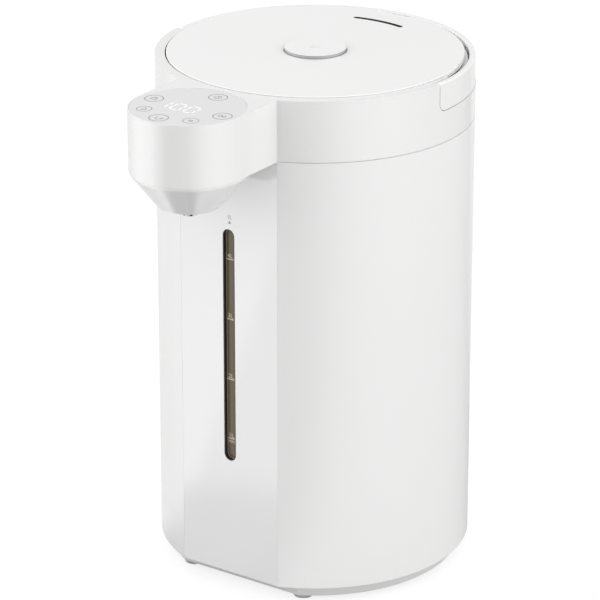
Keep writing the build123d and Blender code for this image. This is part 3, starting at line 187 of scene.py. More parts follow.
class NodeBuilder:
    """A small helper that adds and links shader or geometry nodes in one tree."""

    LENGTHS = ("DOT_PRODUCT", "DISTANCE")

    def __init__(self, tree: bpy.types.NodeTree) -> None:
        """Keep the tree that nodes go into."""
        self.tree = tree

    def add(self, kind: str, inputs: Inputs | None = None, **settings: object) -> bpy.types.Node:
        """Add a node, set its properties and feed its inputs.

        Args:
            kind: The node's type name.
            inputs: What each input takes.
            settings: Properties of the node.

        Returns:
            The new node.
        """
        node = self.tree.nodes.new(kind)
        for name, value in settings.items():
            setattr(node, name, value)
        self.feed(node, inputs or {})
        return node

    def feed(self, node: bpy.types.Node, inputs: Inputs) -> None:
        """Feed a node's inputs.

        Args:
            node: The node.
            inputs: An output of another node, or a fixed value, for each input.
        """
        for name, value in inputs.items():
            if isinstance(value, bpy.types.NodeSocket):
                self.tree.links.new(value, node.inputs[name])
            else:
                node.inputs[name].default_value = value

    def math(self, operation: str, *values: Feed, clamp: bool = False) -> Socket:
        """Add a sum on plain numbers.

        Args:
            operation: Which sum.
            values: Its inputs in order.
            clamp: Whether the result stays between nought and one.

        Returns:
            The result.
        """
        inputs = dict(enumerate(values))
        return self.add("ShaderNodeMath", inputs, operation=operation, use_clamp=clamp).outputs[0]

    def vector(self, operation: str, *values: Feed) -> Socket:
        """Add a sum on vectors.

        Args:
            operation: Which sum.
            values: Its inputs in order.

        Returns:
            The result, a number for sums that give a length.
        """
        node = self.add("ShaderNodeVectorMath", dict(enumerate(values)), operation=operation)
        return node.outputs["Value" if operation in self.LENGTHS else "Vector"]

    def split(self, value: Feed) -> bpy.types.NodeOutputs:
        """Take a vector apart.

        Args:
            value: The vector.

        Returns:
            Its parts, by the letters X, Y and Z.
        """
        return self.add("ShaderNodeSeparateXYZ", {0: value}).outputs

    def ramp(self, value: Feed, reach: Pair, levels: Pair = (0.0, 1.0), smooth: bool = False) -> Socket:
        """Map one range of numbers onto another, and hold its ends beyond it.

        Args:
            value: The number to map.
            reach: The range it comes from.
            levels: The range it goes to.
            smooth: Whether the ends are eased.

        Returns:
            The mapped number.
        """
        inputs = {"Value": value, "From Min": reach[0], "From Max": reach[1]}
        inputs |= {"To Min": levels[0], "To Max": levels[1]}
        kind = "SMOOTHSTEP" if smooth else "LINEAR"
        return self.add("ShaderNodeMapRange", inputs, interpolation_type=kind).outputs["Result"]

    def mix(self, factor: Feed, first: Feed, second: Feed, kind: str = "FLOAT") -> Socket:
        """Blend two numbers or colours.

        Args:
            factor: The share of the second.
            first: The first.
            second: The second.
            kind: FLOAT for numbers, RGBA for colours.

        Returns:
            The blend.
        """
        inputs = {"Factor": factor, "A": first, "B": second}
        return self.add("ShaderNodeMix", inputs, data_type=kind).outputs["Result"]

    def shade(self, factor: Feed, first: Socket, second: Socket) -> Socket:
        """Blend two shaders.

        Args:
            factor: The share of the second.
            first: The first.
            second: The second.

        Returns:
            The blend.
        """
        return self.add("ShaderNodeMixShader", {"Fac": factor, 1: first, 2: second}).outputs["Shader"]


def grain_group() -> bpy.types.NodeTree:
    """Make the shared moulded-surface group, or find it.

    Returns:
        A shader group that gives a mottled tint, a roughness and a fine height.
    """
    name = "moulded_grain"
    if name in bpy.data.node_groups:
        return bpy.data.node_groups[name]
    tree = bpy.data.node_groups.new(name, "ShaderNodeTree")
    face = tree.interface
    inputs = (("Grain", 900.0), ("Mottle", 9.0), ("Roughness", 0.3), ("Spread", 0.05), ("Tint Spread", 0.02))
    for label, default in inputs:
        face.new_socket(label, in_out="INPUT", socket_type="NodeSocketFloat").default_value = default
    face.new_socket("Colour", in_out="INPUT", socket_type="NodeSocketColor")
    face.new_socket("Stretch", in_out="INPUT", socket_type="NodeSocketVector").default_value = (1.0, 1.0, 1.0)
    face.new_socket("Tint", in_out="OUTPUT", socket_type="NodeSocketColor")
    face.new_socket("Roughness", in_out="OUTPUT", socket_type="NodeSocketFloat")
    face.new_socket("Height", in_out="OUTPUT", socket_type="NodeSocketFloat")
    nb = NodeBuilder(tree)
    given = nb.add("NodeGroupInput").outputs
    spot = nb.add("ShaderNodeTexCoord").outputs["Object"]
    pulled = nb.vector("MULTIPLY", spot, given["Stretch"])
    fine = nb.add("ShaderNodeTexNoise", {"Vector": pulled, "Scale": given["Grain"], "Detail": 3.0})
    wide = nb.add("ShaderNodeTexNoise", {"Vector": pulled, "Scale": given["Mottle"], "Detail": 2.0})
    centred = nb.math("SUBTRACT", wide.outputs["Fac"], 0.5)
    rough = nb.math("MULTIPLY_ADD", centred, given["Spread"], given["Roughness"], clamp=True)
    shade = nb.math("MULTIPLY_ADD", centred, given["Tint Spread"], 1.0)
    tint = nb.add("ShaderNodeVectorMath", {0: given["Colour"], "Scale": shade}, operation="SCALE")
    given_out = {"Tint": tint.outputs["Vector"], "Roughness": rough, "Height": fine.outputs["Fac"]}
    nb.add("NodeGroupOutput", given_out)
    return tree


class Finish:
    """A procedural finish that makes its material once."""

    name: str

    def label(self) -> str:
        """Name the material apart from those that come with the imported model."""
        return "finish_" + self.name

    def start(self) -> tuple[bpy.types.Material, NodeBuilder, bpy.types.Node]:
        """Begin the material.

        Returns:
            The new material, a builder for its tree and its shader.
        """
        made = bpy.data.materials.new(self.label())
        made.use_nodes = True
        return made, NodeBuilder(made.node_tree), made.node_tree.nodes["Principled BSDF"]

    def dress(self) -> bpy.types.Material:
        """Make the material's nodes."""
        raise NotImplementedError

    def material(self) -> bpy.types.Material:
        """Find the material, or make it the first time."""
        return bpy.data.materials.get(self.label()) or self.dress()


@dataclass(frozen=True)
class Moulded(Finish):
    """A moulded, painted, plated or soft finish with grain and a faint mottle."""

    name: str
    colour: Colour
    roughness: float
    spread: float
    tint_spread: float
    grain: float
    bump: float
    coat: float = 0.0
    coat_roughness: float = 0.03
    ior: float = 1.5
    metallic: float = 0.0
    sheen: float = 0.0
    stretch: Point = (1.0, 1.0, 1.0)

    def dress(self) -> bpy.types.Material:
        """Make the material's nodes.

        Returns:
            The material of this finish.
        """
        made, nb, shader = self.start()
        inputs = {"Colour": rgba(self.colour), "Roughness": self.roughness, "Spread": self.spread,
                  "Tint Spread": self.tint_spread, "Grain": self.grain, "Stretch": self.stretch}
        given = nb.add("ShaderNodeGroup", inputs, node_tree=grain_group()).outputs
        relief = {"Height": given["Height"], "Strength": self.bump, "Distance": 0.0002}
        normal = nb.add("ShaderNodeBump", relief).outputs["Normal"]
        nb.feed(shader, {"Base Color": given["Tint"], "Roughness": given["Roughness"], "Normal": normal,
                         "Coat Weight": self.coat, "Coat Roughness": self.coat_roughness, "IOR": self.ior,
                         "Metallic": self.metallic, "Sheen Weight": self.sheen})
        return made


@dataclass(frozen=True)
class TintedLens(Finish):
    """The brown gauge lens, a little deeper towards its top, with painted shade: its part in front of the
    lens face is near-black.
    """

    name: str = "gauge_tint"
    top: Colour = (0.125, 0.098, 0.048)
    foot: Colour = (0.165, 0.125, 0.085)
    # painted shade: near-black for the lens's part in front of its face, where the recess is in shade
    rim_shade: Colour = (0.02, 0.016, 0.012)
    heights: Pair = (0.093, 0.256)
    front: float = -0.0589
    streaks: Point = (700.0, 700.0, 9.0)
    wander: float = 0.3

    def dress(self) -> bpy.types.Material:
        """Make the material's nodes.

        Returns:
            The lens material.
        """
        made, nb, shader = self.start()
        spot = nb.add("ShaderNodeTexCoord").outputs["Object"]
        parts = nb.split(spot)
        drawn = nb.add("ShaderNodeMapping", {"Vector": spot, "Scale": self.streaks}).outputs["Vector"]
        streak = nb.add("ShaderNodeTexNoise", {"Vector": drawn, "Scale": 1.0, "Detail": 2.0}).outputs["Fac"]
        wander = nb.math("MULTIPLY_ADD", streak, self.wander, nb.ramp(parts["Z"], self.heights), clamp=True)
        level = nb.math("SUBTRACT", wander, self.wander / 2, clamp=True)
        blend = nb.mix(level, rgba(self.foot), rgba(self.top), "RGBA")
        # Painted shade: everything of the lens ahead of its face is made near-black.
        ahead = nb.math("LESS_THAN", parts["Y"], self.front)
        wall = nb.mix(ahead, blend, rgba(self.rim_shade), "RGBA")
        nb.feed(shader, {"Base Color": wall, "Roughness": 0.2})
        return made


@dataclass(frozen=True)
class ClearTube(Finish):
    """A clear tube with a faint haze."""

    name: str = "clear_tube"
    colour: Colour = (0.9, 0.93, 0.93)
    haze: Pair = (0.04, 0.22)

    def dress(self) -> bpy.types.Material:
        """Make the material's nodes.

        Returns:
            The tube's material.
        """
        made, nb, shader = self.start()
        spot = nb.add("ShaderNodeTexCoord").outputs["Object"]
        haze = nb.add("ShaderNodeTexNoise", {"Vector": spot, "Scale": 60.0}).outputs["Fac"]
        nb.feed(shader, {"Base Color": rgba(self.colour), "Roughness": nb.ramp(haze, (0.0, 1.0), self.haze),
                         "Transmission Weight": 0.9, "IOR": 1.49})
        return made


@dataclass(frozen=True)
class Circuit(Finish):
    """A lacquered circuit board with copper runs under the lacquer."""

    name: str = "board_green"
    colour: Colour = (0.02, 0.13, 0.05)
    run: Colour = (0.05, 0.24, 0.09)
    shade: float = 0.85

    def dress(self) -> bpy.types.Material:
        """Make the material's nodes.

        Returns:
            The board's material.
        """
        made, nb, shader = self.start()
        spot = nb.add("ShaderNodeTexCoord").outputs["Object"]
        darker = tuple(part * self.shade for part in self.colour)
        runs = nb.add("ShaderNodeTexBrick", {"Vector": spot, "Scale": 120.0, "Mortar Size": 0.035,
                                             "Color1": rgba(self.colour), "Color2": rgba(darker),
                                             "Mortar": rgba(self.run)}).outputs
        bump = nb.add("ShaderNodeBump", {"Height": runs["Fac"], "Strength": 0.3, "Distance": 0.0001})
        nb.feed(shader, {"Base Color": runs["Color"], "Normal": bump.outputs["Normal"], "Roughness": 0.3,
                         "Coat Weight": 0.4})
        return made


WHITE_SATIN = Moulded("white_satin", (0.86, 0.86, 0.855), 0.3, 0.04, 0.012, 1400.0, 0.01, 0.8, 0.2, 1.6)
WHITE_POLISHED = Moulded("white_polished", (0.86, 0.86, 0.855), 0.2, 0.03, 0.01, 1400.0, 0.006, 1.0, 0.12,
                         1.8)
WHITE_GLOSS = Moulded("white_gloss", (0.87, 0.87, 0.87), 0.1, 0.02, 0.008, 1200.0, 0.004, 1.0, 0.03, 1.6)
TOUCH_WHITE = Moulded("touch_white", (0.73, 0.73, 0.735), 0.16, 0.03, 0.01, 1200.0, 0.004, 0.5)
BASE_WHITE = Moulded("base_white", (0.8, 0.8, 0.795), 0.5, 0.06, 0.015, 900.0, 0.03)
PALE_GREY = Moulded("pale_grey", (0.62, 0.62, 0.61), 0.45, 0.08, 0.02, 900.0, 0.03)
# painted shade: the steam duct is made dark grey where it shows through the steam slot
DUCT_SHADE_GREY = Moulded("duct_shade_grey", (0.16, 0.16, 0.16), 0.5, 0.08, 0.03, 900.0, 0.03)
BLACK = Moulded("black_moulded", (0.02, 0.02, 0.022), 0.5, 0.1, 0.1, 900.0, 0.05)
BOARD = Circuit()
RUBBER = Moulded("grey_rubber", (0.24, 0.24, 0.24), 0.7, 0.1, 0.05, 700.0, 0.06)
FOOT = Moulded("foot_rubber", (0.5, 0.5, 0.5), 0.75, 0.1, 0.08, 700.0, 0.08)
SILICONE = Moulded("silicone", (0.72, 0.72, 0.7), 0.4, 0.08, 0.02, 600.0, 0.02, 0.2)
FELT = Moulded("felt", (0.55, 0.54, 0.5), 0.95, 0.05, 0.15, 500.0, 0.5, sheen=0.4)
STEEL = Moulded("plated_steel", (0.6, 0.6, 0.61), 0.28, 0.1, 0.03, 800.0, 0.03, metallic=1.0)
BRIGHT = Moulded("bright_steel", (0.9, 0.9, 0.9), 0.25, 0.04, 0.02, 800.0, 0.01, metallic=0.3)
TANK = Moulded("tank_steel", (0.66, 0.66, 0.66), 0.3, 0.2, 0.06, 900.0, 0.12, metallic=1.0,
               stretch=(0.02, 0.02, 1.0))
ALUMINIUM = Moulded("cast_aluminium", (0.62, 0.62, 0.63), 0.5, 0.1, 0.05, 500.0, 0.15, metallic=1.0)
BRASS = Moulded("contact_brass", (0.78, 0.58, 0.25), 0.25, 0.1, 0.04, 800.0, 0.02, metallic=1.0)
# plated metal band, its mid grey partly painted shade for the button's side
BAND_SHADE = Moulded("button_band", (0.45, 0.45, 0.455), 0.4, 0.06, 0.02, 800.0, 0.02, metallic=1.0)
# painted shade: near-black for the sheet set inside the steam slot
VENT_SHADE = Moulded("vent_painted_shade", (0.05, 0.05, 0.05), 0.6, 0.1, 0.1, 900.0, 0.04)
LENS = TintedLens()
CLEAR = ClearTube()
CREAM_INK = Moulded("cream_ink", (0.78, 0.66, 0.52), 0.5, 0.05, 0.05, 900.0, 0.02)
PALE_LINE = Moulded("pale_line", (0.4, 0.36, 0.29), 0.4, 0.05, 0.05, 900.0, 0.02)
GREY_INK = Moulded("grey_ink", (0.34, 0.34, 0.34), 0.5, 0.05, 0.05, 900.0, 0.02)
KEY_INK = Moulded("key_ink", (0.2, 0.2, 0.205), 0.45, 0.05, 0.05, 900.0, 0.02)
FAINT_INK = Moulded("faint_ink", (0.6, 0.6, 0.6), 0.45, 0.05, 0.05, 900.0, 0.02)
LIT_WHITE = Moulded("lit_white", (0.95, 0.95, 0.95), 0.4, 0.05, 0.01, 900.0, 0.01)

NODE_FINISH: dict[str, Finish] = {
    "body_shell": WHITE_SATIN, "front_panel": WHITE_GLOSS, "gauge_window": LENS,
    "top_housing": WHITE_POLISHED, "nozzle_cover": WHITE_POLISHED, "spout_nozzle": BRIGHT,
    "touch_panel": TOUCH_WHITE, "control_board": BOARD, "display_module": BLACK, "touch_pads": RUBBER,
    "board_screws": STEEL, "lid_cover": WHITE_SATIN, "lid_inner": PALE_GREY, "lid_gasket": RUBBER,
    "steam_duct": DUCT_SHADE_GREY, "lid_screws": STEEL, "lid_hinge_bracket": WHITE_SATIN, "lid_hinge_pin": STEEL,
    "lid_button": WHITE_SATIN, "button_spring": STEEL, "latch_bolt": PALE_GREY, "latch_spring": STEEL,
    "carry_handle": WHITE_SATIN, "handle_pivots": STEEL, "inner_tank": TANK, "tank_seal": RUBBER,
    "tank_screws": STEEL, "insulation_sleeve": FELT, "heater_plate": ALUMINIUM, "thermostat": BLACK,
    "temperature_sensor": STEEL, "pump_housing": PALE_GREY, "pump_impeller": PALE_GREY, "pump_motor": STEEL,
    "pump_inlet_hose": SILICONE, "pump_outlet_hose": SILICONE, "riser_tube": CLEAR, "outlet_hose": SILICONE,
    "hose_clips": STEEL, "power_board": BOARD, "board_parts": BLACK, "power_inlet": BLACK,
    "inlet_contacts": BRASS, "base_cover": BASE_WHITE, "rubber_feet": FOOT, "base_screws": STEEL,
}


@dataclass(frozen=True)
class Surface:
    """A flat face of the object that marks are drawn on, in millimetres about the body axis."""

    origin: Point
    across: Point
    up: Point
    out: Point

    def at(self, u: float, v: float, w: float) -> Vector:
        """Find a place on or above the face.

        Args:
            u: Distance across the face.
            v: Distance up the face.
            w: Distance out of the face.

        Returns:
            The place in metres in the shared frame.
        """
        parts = zip(self.origin, self.across, self.up, self.out)
        return place(*(o + u * a + v * b + w * c for o, a, b, c in parts))


GROUND = Surface((0.0, -AXIS_SHIFT, 0.0), RIGHT, BACK, UP)


class Draft:
    """A mesh being drawn in millimetres, kept as closed islands."""

    MITRE_LIMIT = 0.35
    ON_AXIS = 1e-6
    WELD = 1e-7
    FIGURE_SHARE = 0.69

    def __init__(self) -> None:
        """Start with an empty mesh."""
        self.bm = bmesh.new()

    def skin(self, low: list[Vector], high: list[Vector], closed: bool) -> None:
        """Join two matching strips of points, left and right in turn, into a closed flat ribbon.

        Args:
            low: Points of the underside, as left and right pairs.
            high: Points of the top, in the same order.
            closed: Whether the last pair joins the first.
        """
        under = [self.bm.verts.new(spot) for spot in low]
        over = [self.bm.verts.new(spot) for spot in high]
        pairs = len(low) // 2
        for k in range(pairs if closed else pairs - 1):
            a, b = 2 * k, 2 * ((k + 1) % pairs)
            self.bm.faces.new((over[a], over[a + 1], over[b + 1], over[b]))
            self.bm.faces.new((under[a], under[b], under[b + 1], under[a + 1]))
            self.bm.faces.new((over[a], over[b], under[b], under[a]))
            self.bm.faces.new((over[a + 1], under[a + 1], under[b + 1], over[b + 1]))
        if not closed:
            for k in (0, 2 * pairs - 2):
                self.bm.faces.new((over[k], under[k], under[k + 1], over[k + 1]))

    def ribbon(self, face: Surface, points: list[Pair], width: float, layer: Pair,
               closed: bool = False) -> None:
        """Draw a flat line of even width on a face.

        Args:
            face: The face to draw on.
            points: The line's points across and up the face.
            width: The line's width.
            layer: Heights of its underside and its top above the face.
            closed: Whether the line runs round to its start.
        """
        count = len(points)
        sides: list[Pair] = []
        for k, (u, v) in enumerate(points):
            before = points[k - 1] if closed or k else points[k]
            after = points[(k + 1) % count] if closed or k < count - 1 else points[k]
            first = Vector((u - before[0], v - before[1]))
            second = Vector((after[0] - u, after[1] - v))
            first = first.normalized() if first.length else second.normalized()
            second = second.normalized() if second.length else first
            run = (first + second).normalized()
            reach = width / 2 / max(self.MITRE_LIMIT, run.dot(first))
            sides += [(u - run.y * reach, v + run.x * reach), (u + run.y * reach, v - run.x * reach)]
        under, over = ([face.at(u, v, height) for u, v in sides] for height in layer)
        self.skin(under, over, closed)

    def plate(self, face: Surface, outline: list[Pair], layer: Pair) -> None:
        """Draw a filled shape on a face.

        Args:
            face: The face to draw on.
            outline: The shape's corners across and up the face.
            layer: Heights of its underside and its top above the face.
        """
        under, over = ([self.bm.verts.new(face.at(u, v, height)) for u, v in outline] for height in layer)
        self.bm.faces.new(over)
        self.bm.faces.new(under[::-1])
        for k in range(len(outline)):
            after = (k + 1) % len(outline)
            self.bm.faces.new((under[k], under[after], over[after], over[k]))

    def lathe(self, profile: list[Pair], y: float = 0.0, segments: int = 48) -> None:
        """Turn a closed profile about an upright axis in the middle plane.

        Args:
            profile: Radius and height of each corner, in order round the section.
            y: Place of the axis behind the body axis.
            segments: How many steps go round.
        """
        turns = [2 * math.pi * k / segments for k in range(segments)]
        rings: list[list[bmesh.types.BMVert]] = []
        for radius, height in profile:
            around = turns if radius >= self.ON_AXIS else [0.0]
            spots = [place(radius * math.cos(a), y + radius * math.sin(a), height) for a in around]
            rings.append([self.bm.verts.new(spot) for spot in spots])
        for first, second in zip(rings, rings[1:] + rings[:1]):
            if len(first) == 1 and len(second) == 1:
                continue
            for k in range(segments):
                after = (k + 1) % segments
                corners = [first[k % len(first)], first[after % len(first)], second[after % len(second)],
                           second[k % len(second)]]
                self.bm.faces.new(list(dict.fromkeys(corners)))

    def lettering(self, face: Surface, text: str, height: float, spot: Pair, layer: Pair) -> None:
        """Set figures on a face, centred on a baseline.

        Args:
            face: The face to draw on.
            text: The figures.
            height: Height of a figure.
            spot: The middle of their baseline, across and up the face.
            layer: Heights of their underside and their top above the face.
        """
        (u, v), (low, high) = spot, layer
        curve = bpy.data.curves.new("lettering", "FONT")
        curve.body = text
        curve.size = height / self.FIGURE_SHARE
        curve.align_x = "CENTER"
        curve.extrude = (high - low) / 2
        curve.resolution_u = 4
        flat = plain_mesh(show("lettering", curve))
        for corner in flat.vertices:
            x, y, z = corner.co
            corner.co = face.at(u + x, v + y, (low + high) / 2 + z)
        self.bm.from_mesh(flat)
        bpy.data.curves.remove(curve)
        bpy.data.meshes.remove(flat)

    def mesh(self, smooth: float = 0.0) -> bpy.types.Mesh:
        """Close the drawing and turn it into a mesh.

        Args:
            smooth: Edges under this angle in degrees are shaded as a curve.

        Returns:
            The finished mesh, with faces pointing outwards.
        """
        bmesh.ops.remove_doubles(self.bm, verts=self.bm.verts, dist=self.WELD)
        bmesh.ops.recalc_face_normals(self.bm, faces=self.bm.faces)
        made = bpy.data.meshes.new("drawing")
        self.bm.to_mesh(made)
        self.bm.free()
        if smooth:
            made.shade_smooth()
            made.set_sharp_from_angle(angle=math.radians(smooth))
        return made


def settle(name: str, mesh: bpy.types.Mesh, finish: Finish, body: Body,
           stands_for: tuple[str, ...] = ()) -> None:
    """Put a finished mesh in the scene and tie it to its body.

    Args:
        name: The piece's name.
        mesh: Its mesh, in place.
        finish: Its finish.
        body: The body it moves with.
        stands_for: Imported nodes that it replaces.
    """
    mesh.name = name
    piece = show(name, mesh)
    if not mesh.materials:
        mesh.materials.append(finish.material())
    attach(piece, body.value)
    if stands_for:
        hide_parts(*stands_for)
    LOG.info("made %s on %s with %d faces", name, body.value, len(mesh.polygons))


class Repeater:
    """Sets one small shape on many points through a geometry tree."""

    NAME = "repeat_on_points"

    def tree(self) -> bpy.types.NodeTree:
        """Make the tree, or find it.

        Returns:
            A tree that puts an item on each point, with the point's own size and turn.
        """
        if self.NAME in bpy.data.node_groups:
            return bpy.data.node_groups[self.NAME]
        tree = bpy.data.node_groups.new(self.NAME, "GeometryNodeTree")
        for label, kind in (("Points", "Geometry"), ("Item", "Object"), ("Finish", "Material")):
            tree.interface.new_socket(label, in_out="INPUT", socket_type="NodeSocket" + kind)
        tree.interface.new_socket("Geometry", in_out="OUTPUT", socket_type="NodeSocketGeometry")
        nb = NodeBuilder(tree)
        given = nb.add("NodeGroupInput").outputs
        points = nb.add("GeometryNodeMeshToPoints", {"Mesh": given["Points"]}).outputs["Points"]
        item = nb.add("GeometryNodeObjectInfo", {"Object": given["Item"]}, transform_space="ORIGINAL")
        size = nb.add("GeometryNodeInputNamedAttribute", {"Name": "size"}, data_type="FLOAT")
        turn = nb.add("GeometryNodeInputNamedAttribute", {"Name": "turn"}, data_type="FLOAT")
        euler = nb.add("ShaderNodeCombineXYZ", {"Z": turn.outputs["Attribute"]}).outputs["Vector"]
        spread = nb.add("GeometryNodeInstanceOnPoints",
                        {"Points": points, "Instance": item.outputs["Geometry"], "Rotation": euler,
                         "Scale": size.outputs["Attribute"]}).outputs["Instances"]
        solid = nb.add("GeometryNodeRealizeInstances", {"Geometry": spread}).outputs["Geometry"]
        dress = nb.add("GeometryNodeSetMaterial", {"Geometry": solid, "Material": given["Finish"]})
        nb.add("NodeGroupOutput", {"Geometry": dress.outputs["Geometry"]})
        return tree

    def spread(self, item: bpy.types.Mesh, spots: list[Vector], finish: Finish,
               sizes: list[float] | None = None, turns: list[float] | None = None) -> bpy.types.Mesh:
        """Set the item on each spot and keep the result as one plain mesh.

        Args:
            item: The shape to repeat, drawn about the origin.
            spots: Where it goes, in metres.
            finish: The finish of all of them.
            sizes: A scale for each spot.
            turns: A turn about the upright axis for each spot, in radians.

        Returns:
            The joined mesh.
        """
        tree = self.tree()
        dots = bpy.data.meshes.new("pattern_points")
        dots.from_pydata(spots, [], [])
        for label, values in (("size", sizes or [1.0] * len(spots)), ("turn", turns or [0.0] * len(spots))):
            dots.attributes.new(label, "FLOAT", "POINT").data.foreach_set("value", values)
        pattern, holder = show("pattern_item", item), show("pattern_points", dots)
        modifier = holder.modifiers.new("repeat", "NODES")
        modifier.node_group = tree
        entries = [entry for entry in tree.interface.items_tree if entry.in_out == "INPUT"]
        sockets = {entry.name: entry.identifier for entry in entries}
        modifier[sockets["Item"]] = pattern
        modifier[sockets["Finish"]] = finish.material()
        made = plain_mesh(holder, pattern)
        bpy.data.meshes.remove(dots)
        return made


@dataclass
class GaugeFace:
    """The marks on the level gauge, printed on its lens and on the panel above it."""

    front: float = 97.687
    lens: float = 94.687
    steps: tuple[tuple[str, float], ...] = (("4L", 234.2), ("3L", 192.5), ("2L", 150.1), ("1L", 107.9))
    middle: float = -1.05
    tick_length: float = 5.6
    tick_width: float = 0.75
    figure_height: float = 3.0
    figure_rise: float = 0.9
    low_height: float = 2.0
    low_place: Pair = (-0.75, 104.7)
    window: Point = (8.0, 161.4, 174.6)
    edge_width: float = 0.36
    edge_layer: Pair = (SUNK, 0.12)
    arrow_place: Pair = (1.0, 260.0)
    arrow_half: float = 1.3
    arrow_rise: float = 2.2
    full_height: float = 2.6
    full_rise: float = 3.3
    layer: Pair = (SUNK, 0.04)

    def face(self, depth: float) -> Surface:
        """Give an upright face at the front.

        Args:
            depth: Its distance ahead of the body axis.

        Returns:
            The face.
        """
        return Surface((0.0, -depth, 0.0), RIGHT, UP, FRONT)

    def marks(self) -> None:
        """Draw the litre steps and the low mark on the lens."""
        draft, face, half = Draft(), self.face(self.lens), self.tick_length / 2
        for name, height in self.steps:
            ends = [(self.middle - half, height), (self.middle + half, height)]
            draft.ribbon(face, ends, self.tick_width, self.layer)
            spot = (self.middle, height + self.figure_rise)
            draft.lettering(face, name, self.figure_height, spot, self.layer)
        draft.lettering(face, "MIN", self.low_height, self.low_place, self.layer)
        settle("gauge_marks", draft.mesh(), CREAM_INK, Body.HOUSING)

    def edge(self) -> None:
        """Draw the light line round the foot of the gauge's near-black front part."""
        width, length, middle = self.window
        radius = (width - self.edge_width) / 2
        reach = (length - width) / 2
        outline = arc(0.0, middle + reach, radius, 0.0, 180.0, ARC_STEPS)
        outline += arc(0.0, middle - reach, radius, 180.0, 360.0, ARC_STEPS)
        draft = Draft()
        draft.ribbon(self.face(self.lens), outline, self.edge_width, self.edge_layer, closed=True)
        settle("gauge_edge", draft.mesh(), PALE_LINE, Body.HOUSING)

    def full_mark(self) -> None:
        """Draw the full mark on the panel above the lens."""
        draft, face = Draft(), self.face(self.front)
        (middle, low), half = self.arrow_place, self.arrow_half
        arrow = [(middle - half, low), (middle + half, low), (middle, low + self.arrow_rise)]
        draft.plate(face, arrow, self.layer)
        draft.lettering(face, "5L", self.full_height, (middle, low + self.full_rise), self.layer)
        settle("full_mark", draft.mesh(), GREY_INK, Body.HOUSING)

    def build(self) -> None:
        """Make all marks of the gauge."""
        self.marks()
        self.edge()
        self.full_mark()


class Icon(Enum):
    """The plain signs on the touch keys."""

    KETTLE = "kettle"
    DROP = "drop"
    CUP = "cup"
    FLAME = "flame"
    DROPS = "drops"
    CLOCK = "clock"


class Line(NamedTuple):
    """One line of a sign, in millimetres about the sign's middle."""

    points: list[Pair]
    closed: bool = False


def drop(u: float, v: float, size: float) -> Line:
    """Draw the outline of a water drop.

    Args:
        u: Its middle across the face.
        v: Its middle up the face.
        size: The radius of its round end.

    Returns:
        The outline, from the tip round and back.
    """
    return Line([(u, v + 1.9 * size)] + arc(u, v, size, 155.0, 385.0), True)


def wave(u: float) -> Line:
    """Draw an upright wave.

    Args:
        u: Its middle across the face.

    Returns:
        The wave.
    """
    return Line([(u + 0.35 * math.sin(k * 0.9), -1.7 + 0.45 * k) for k in range(8)])


SIGNS: dict[Icon, tuple[Line, ...]] = {
    Icon.DROP: (drop(0.0, -0.6, 1.5),),
    Icon.DROPS: (drop(-1.4, -0.5, 1.2), drop(1.5, -0.5, 1.0)),
    Icon.CUP: (Line([(-1.9, 1.5), (-1.9, -0.6)] + arc(0.0, -0.6, 1.9, 180.0, 360.0) + [(1.9, 1.5)]),
               Line(arc(1.9, 0.2, 1.1, -80.0, 80.0, 10))),
    Icon.KETTLE: (Line([(-2.2, -1.8), (2.2, -1.8), (1.6, 0.9), (-1.6, 0.9)], True),
                  Line(arc(0.0, 0.9, 1.5, 20.0, 160.0, 12))),
    Icon.FLAME: (wave(-1.2), wave(0.0), wave(1.2)),
    Icon.CLOCK: (Line(arc(0.0, 0.0, 2.3, 0.0, 342.0), True), Line([(0.0, 1.4), (0.0, 0.0), (1.1, -0.4)])),
}


class Key(NamedTuple):
    """A touch key: its middle about the panel's middle, its ring's radius and its sign."""

    u: float
    v: float
    radius: float
    icon: Icon


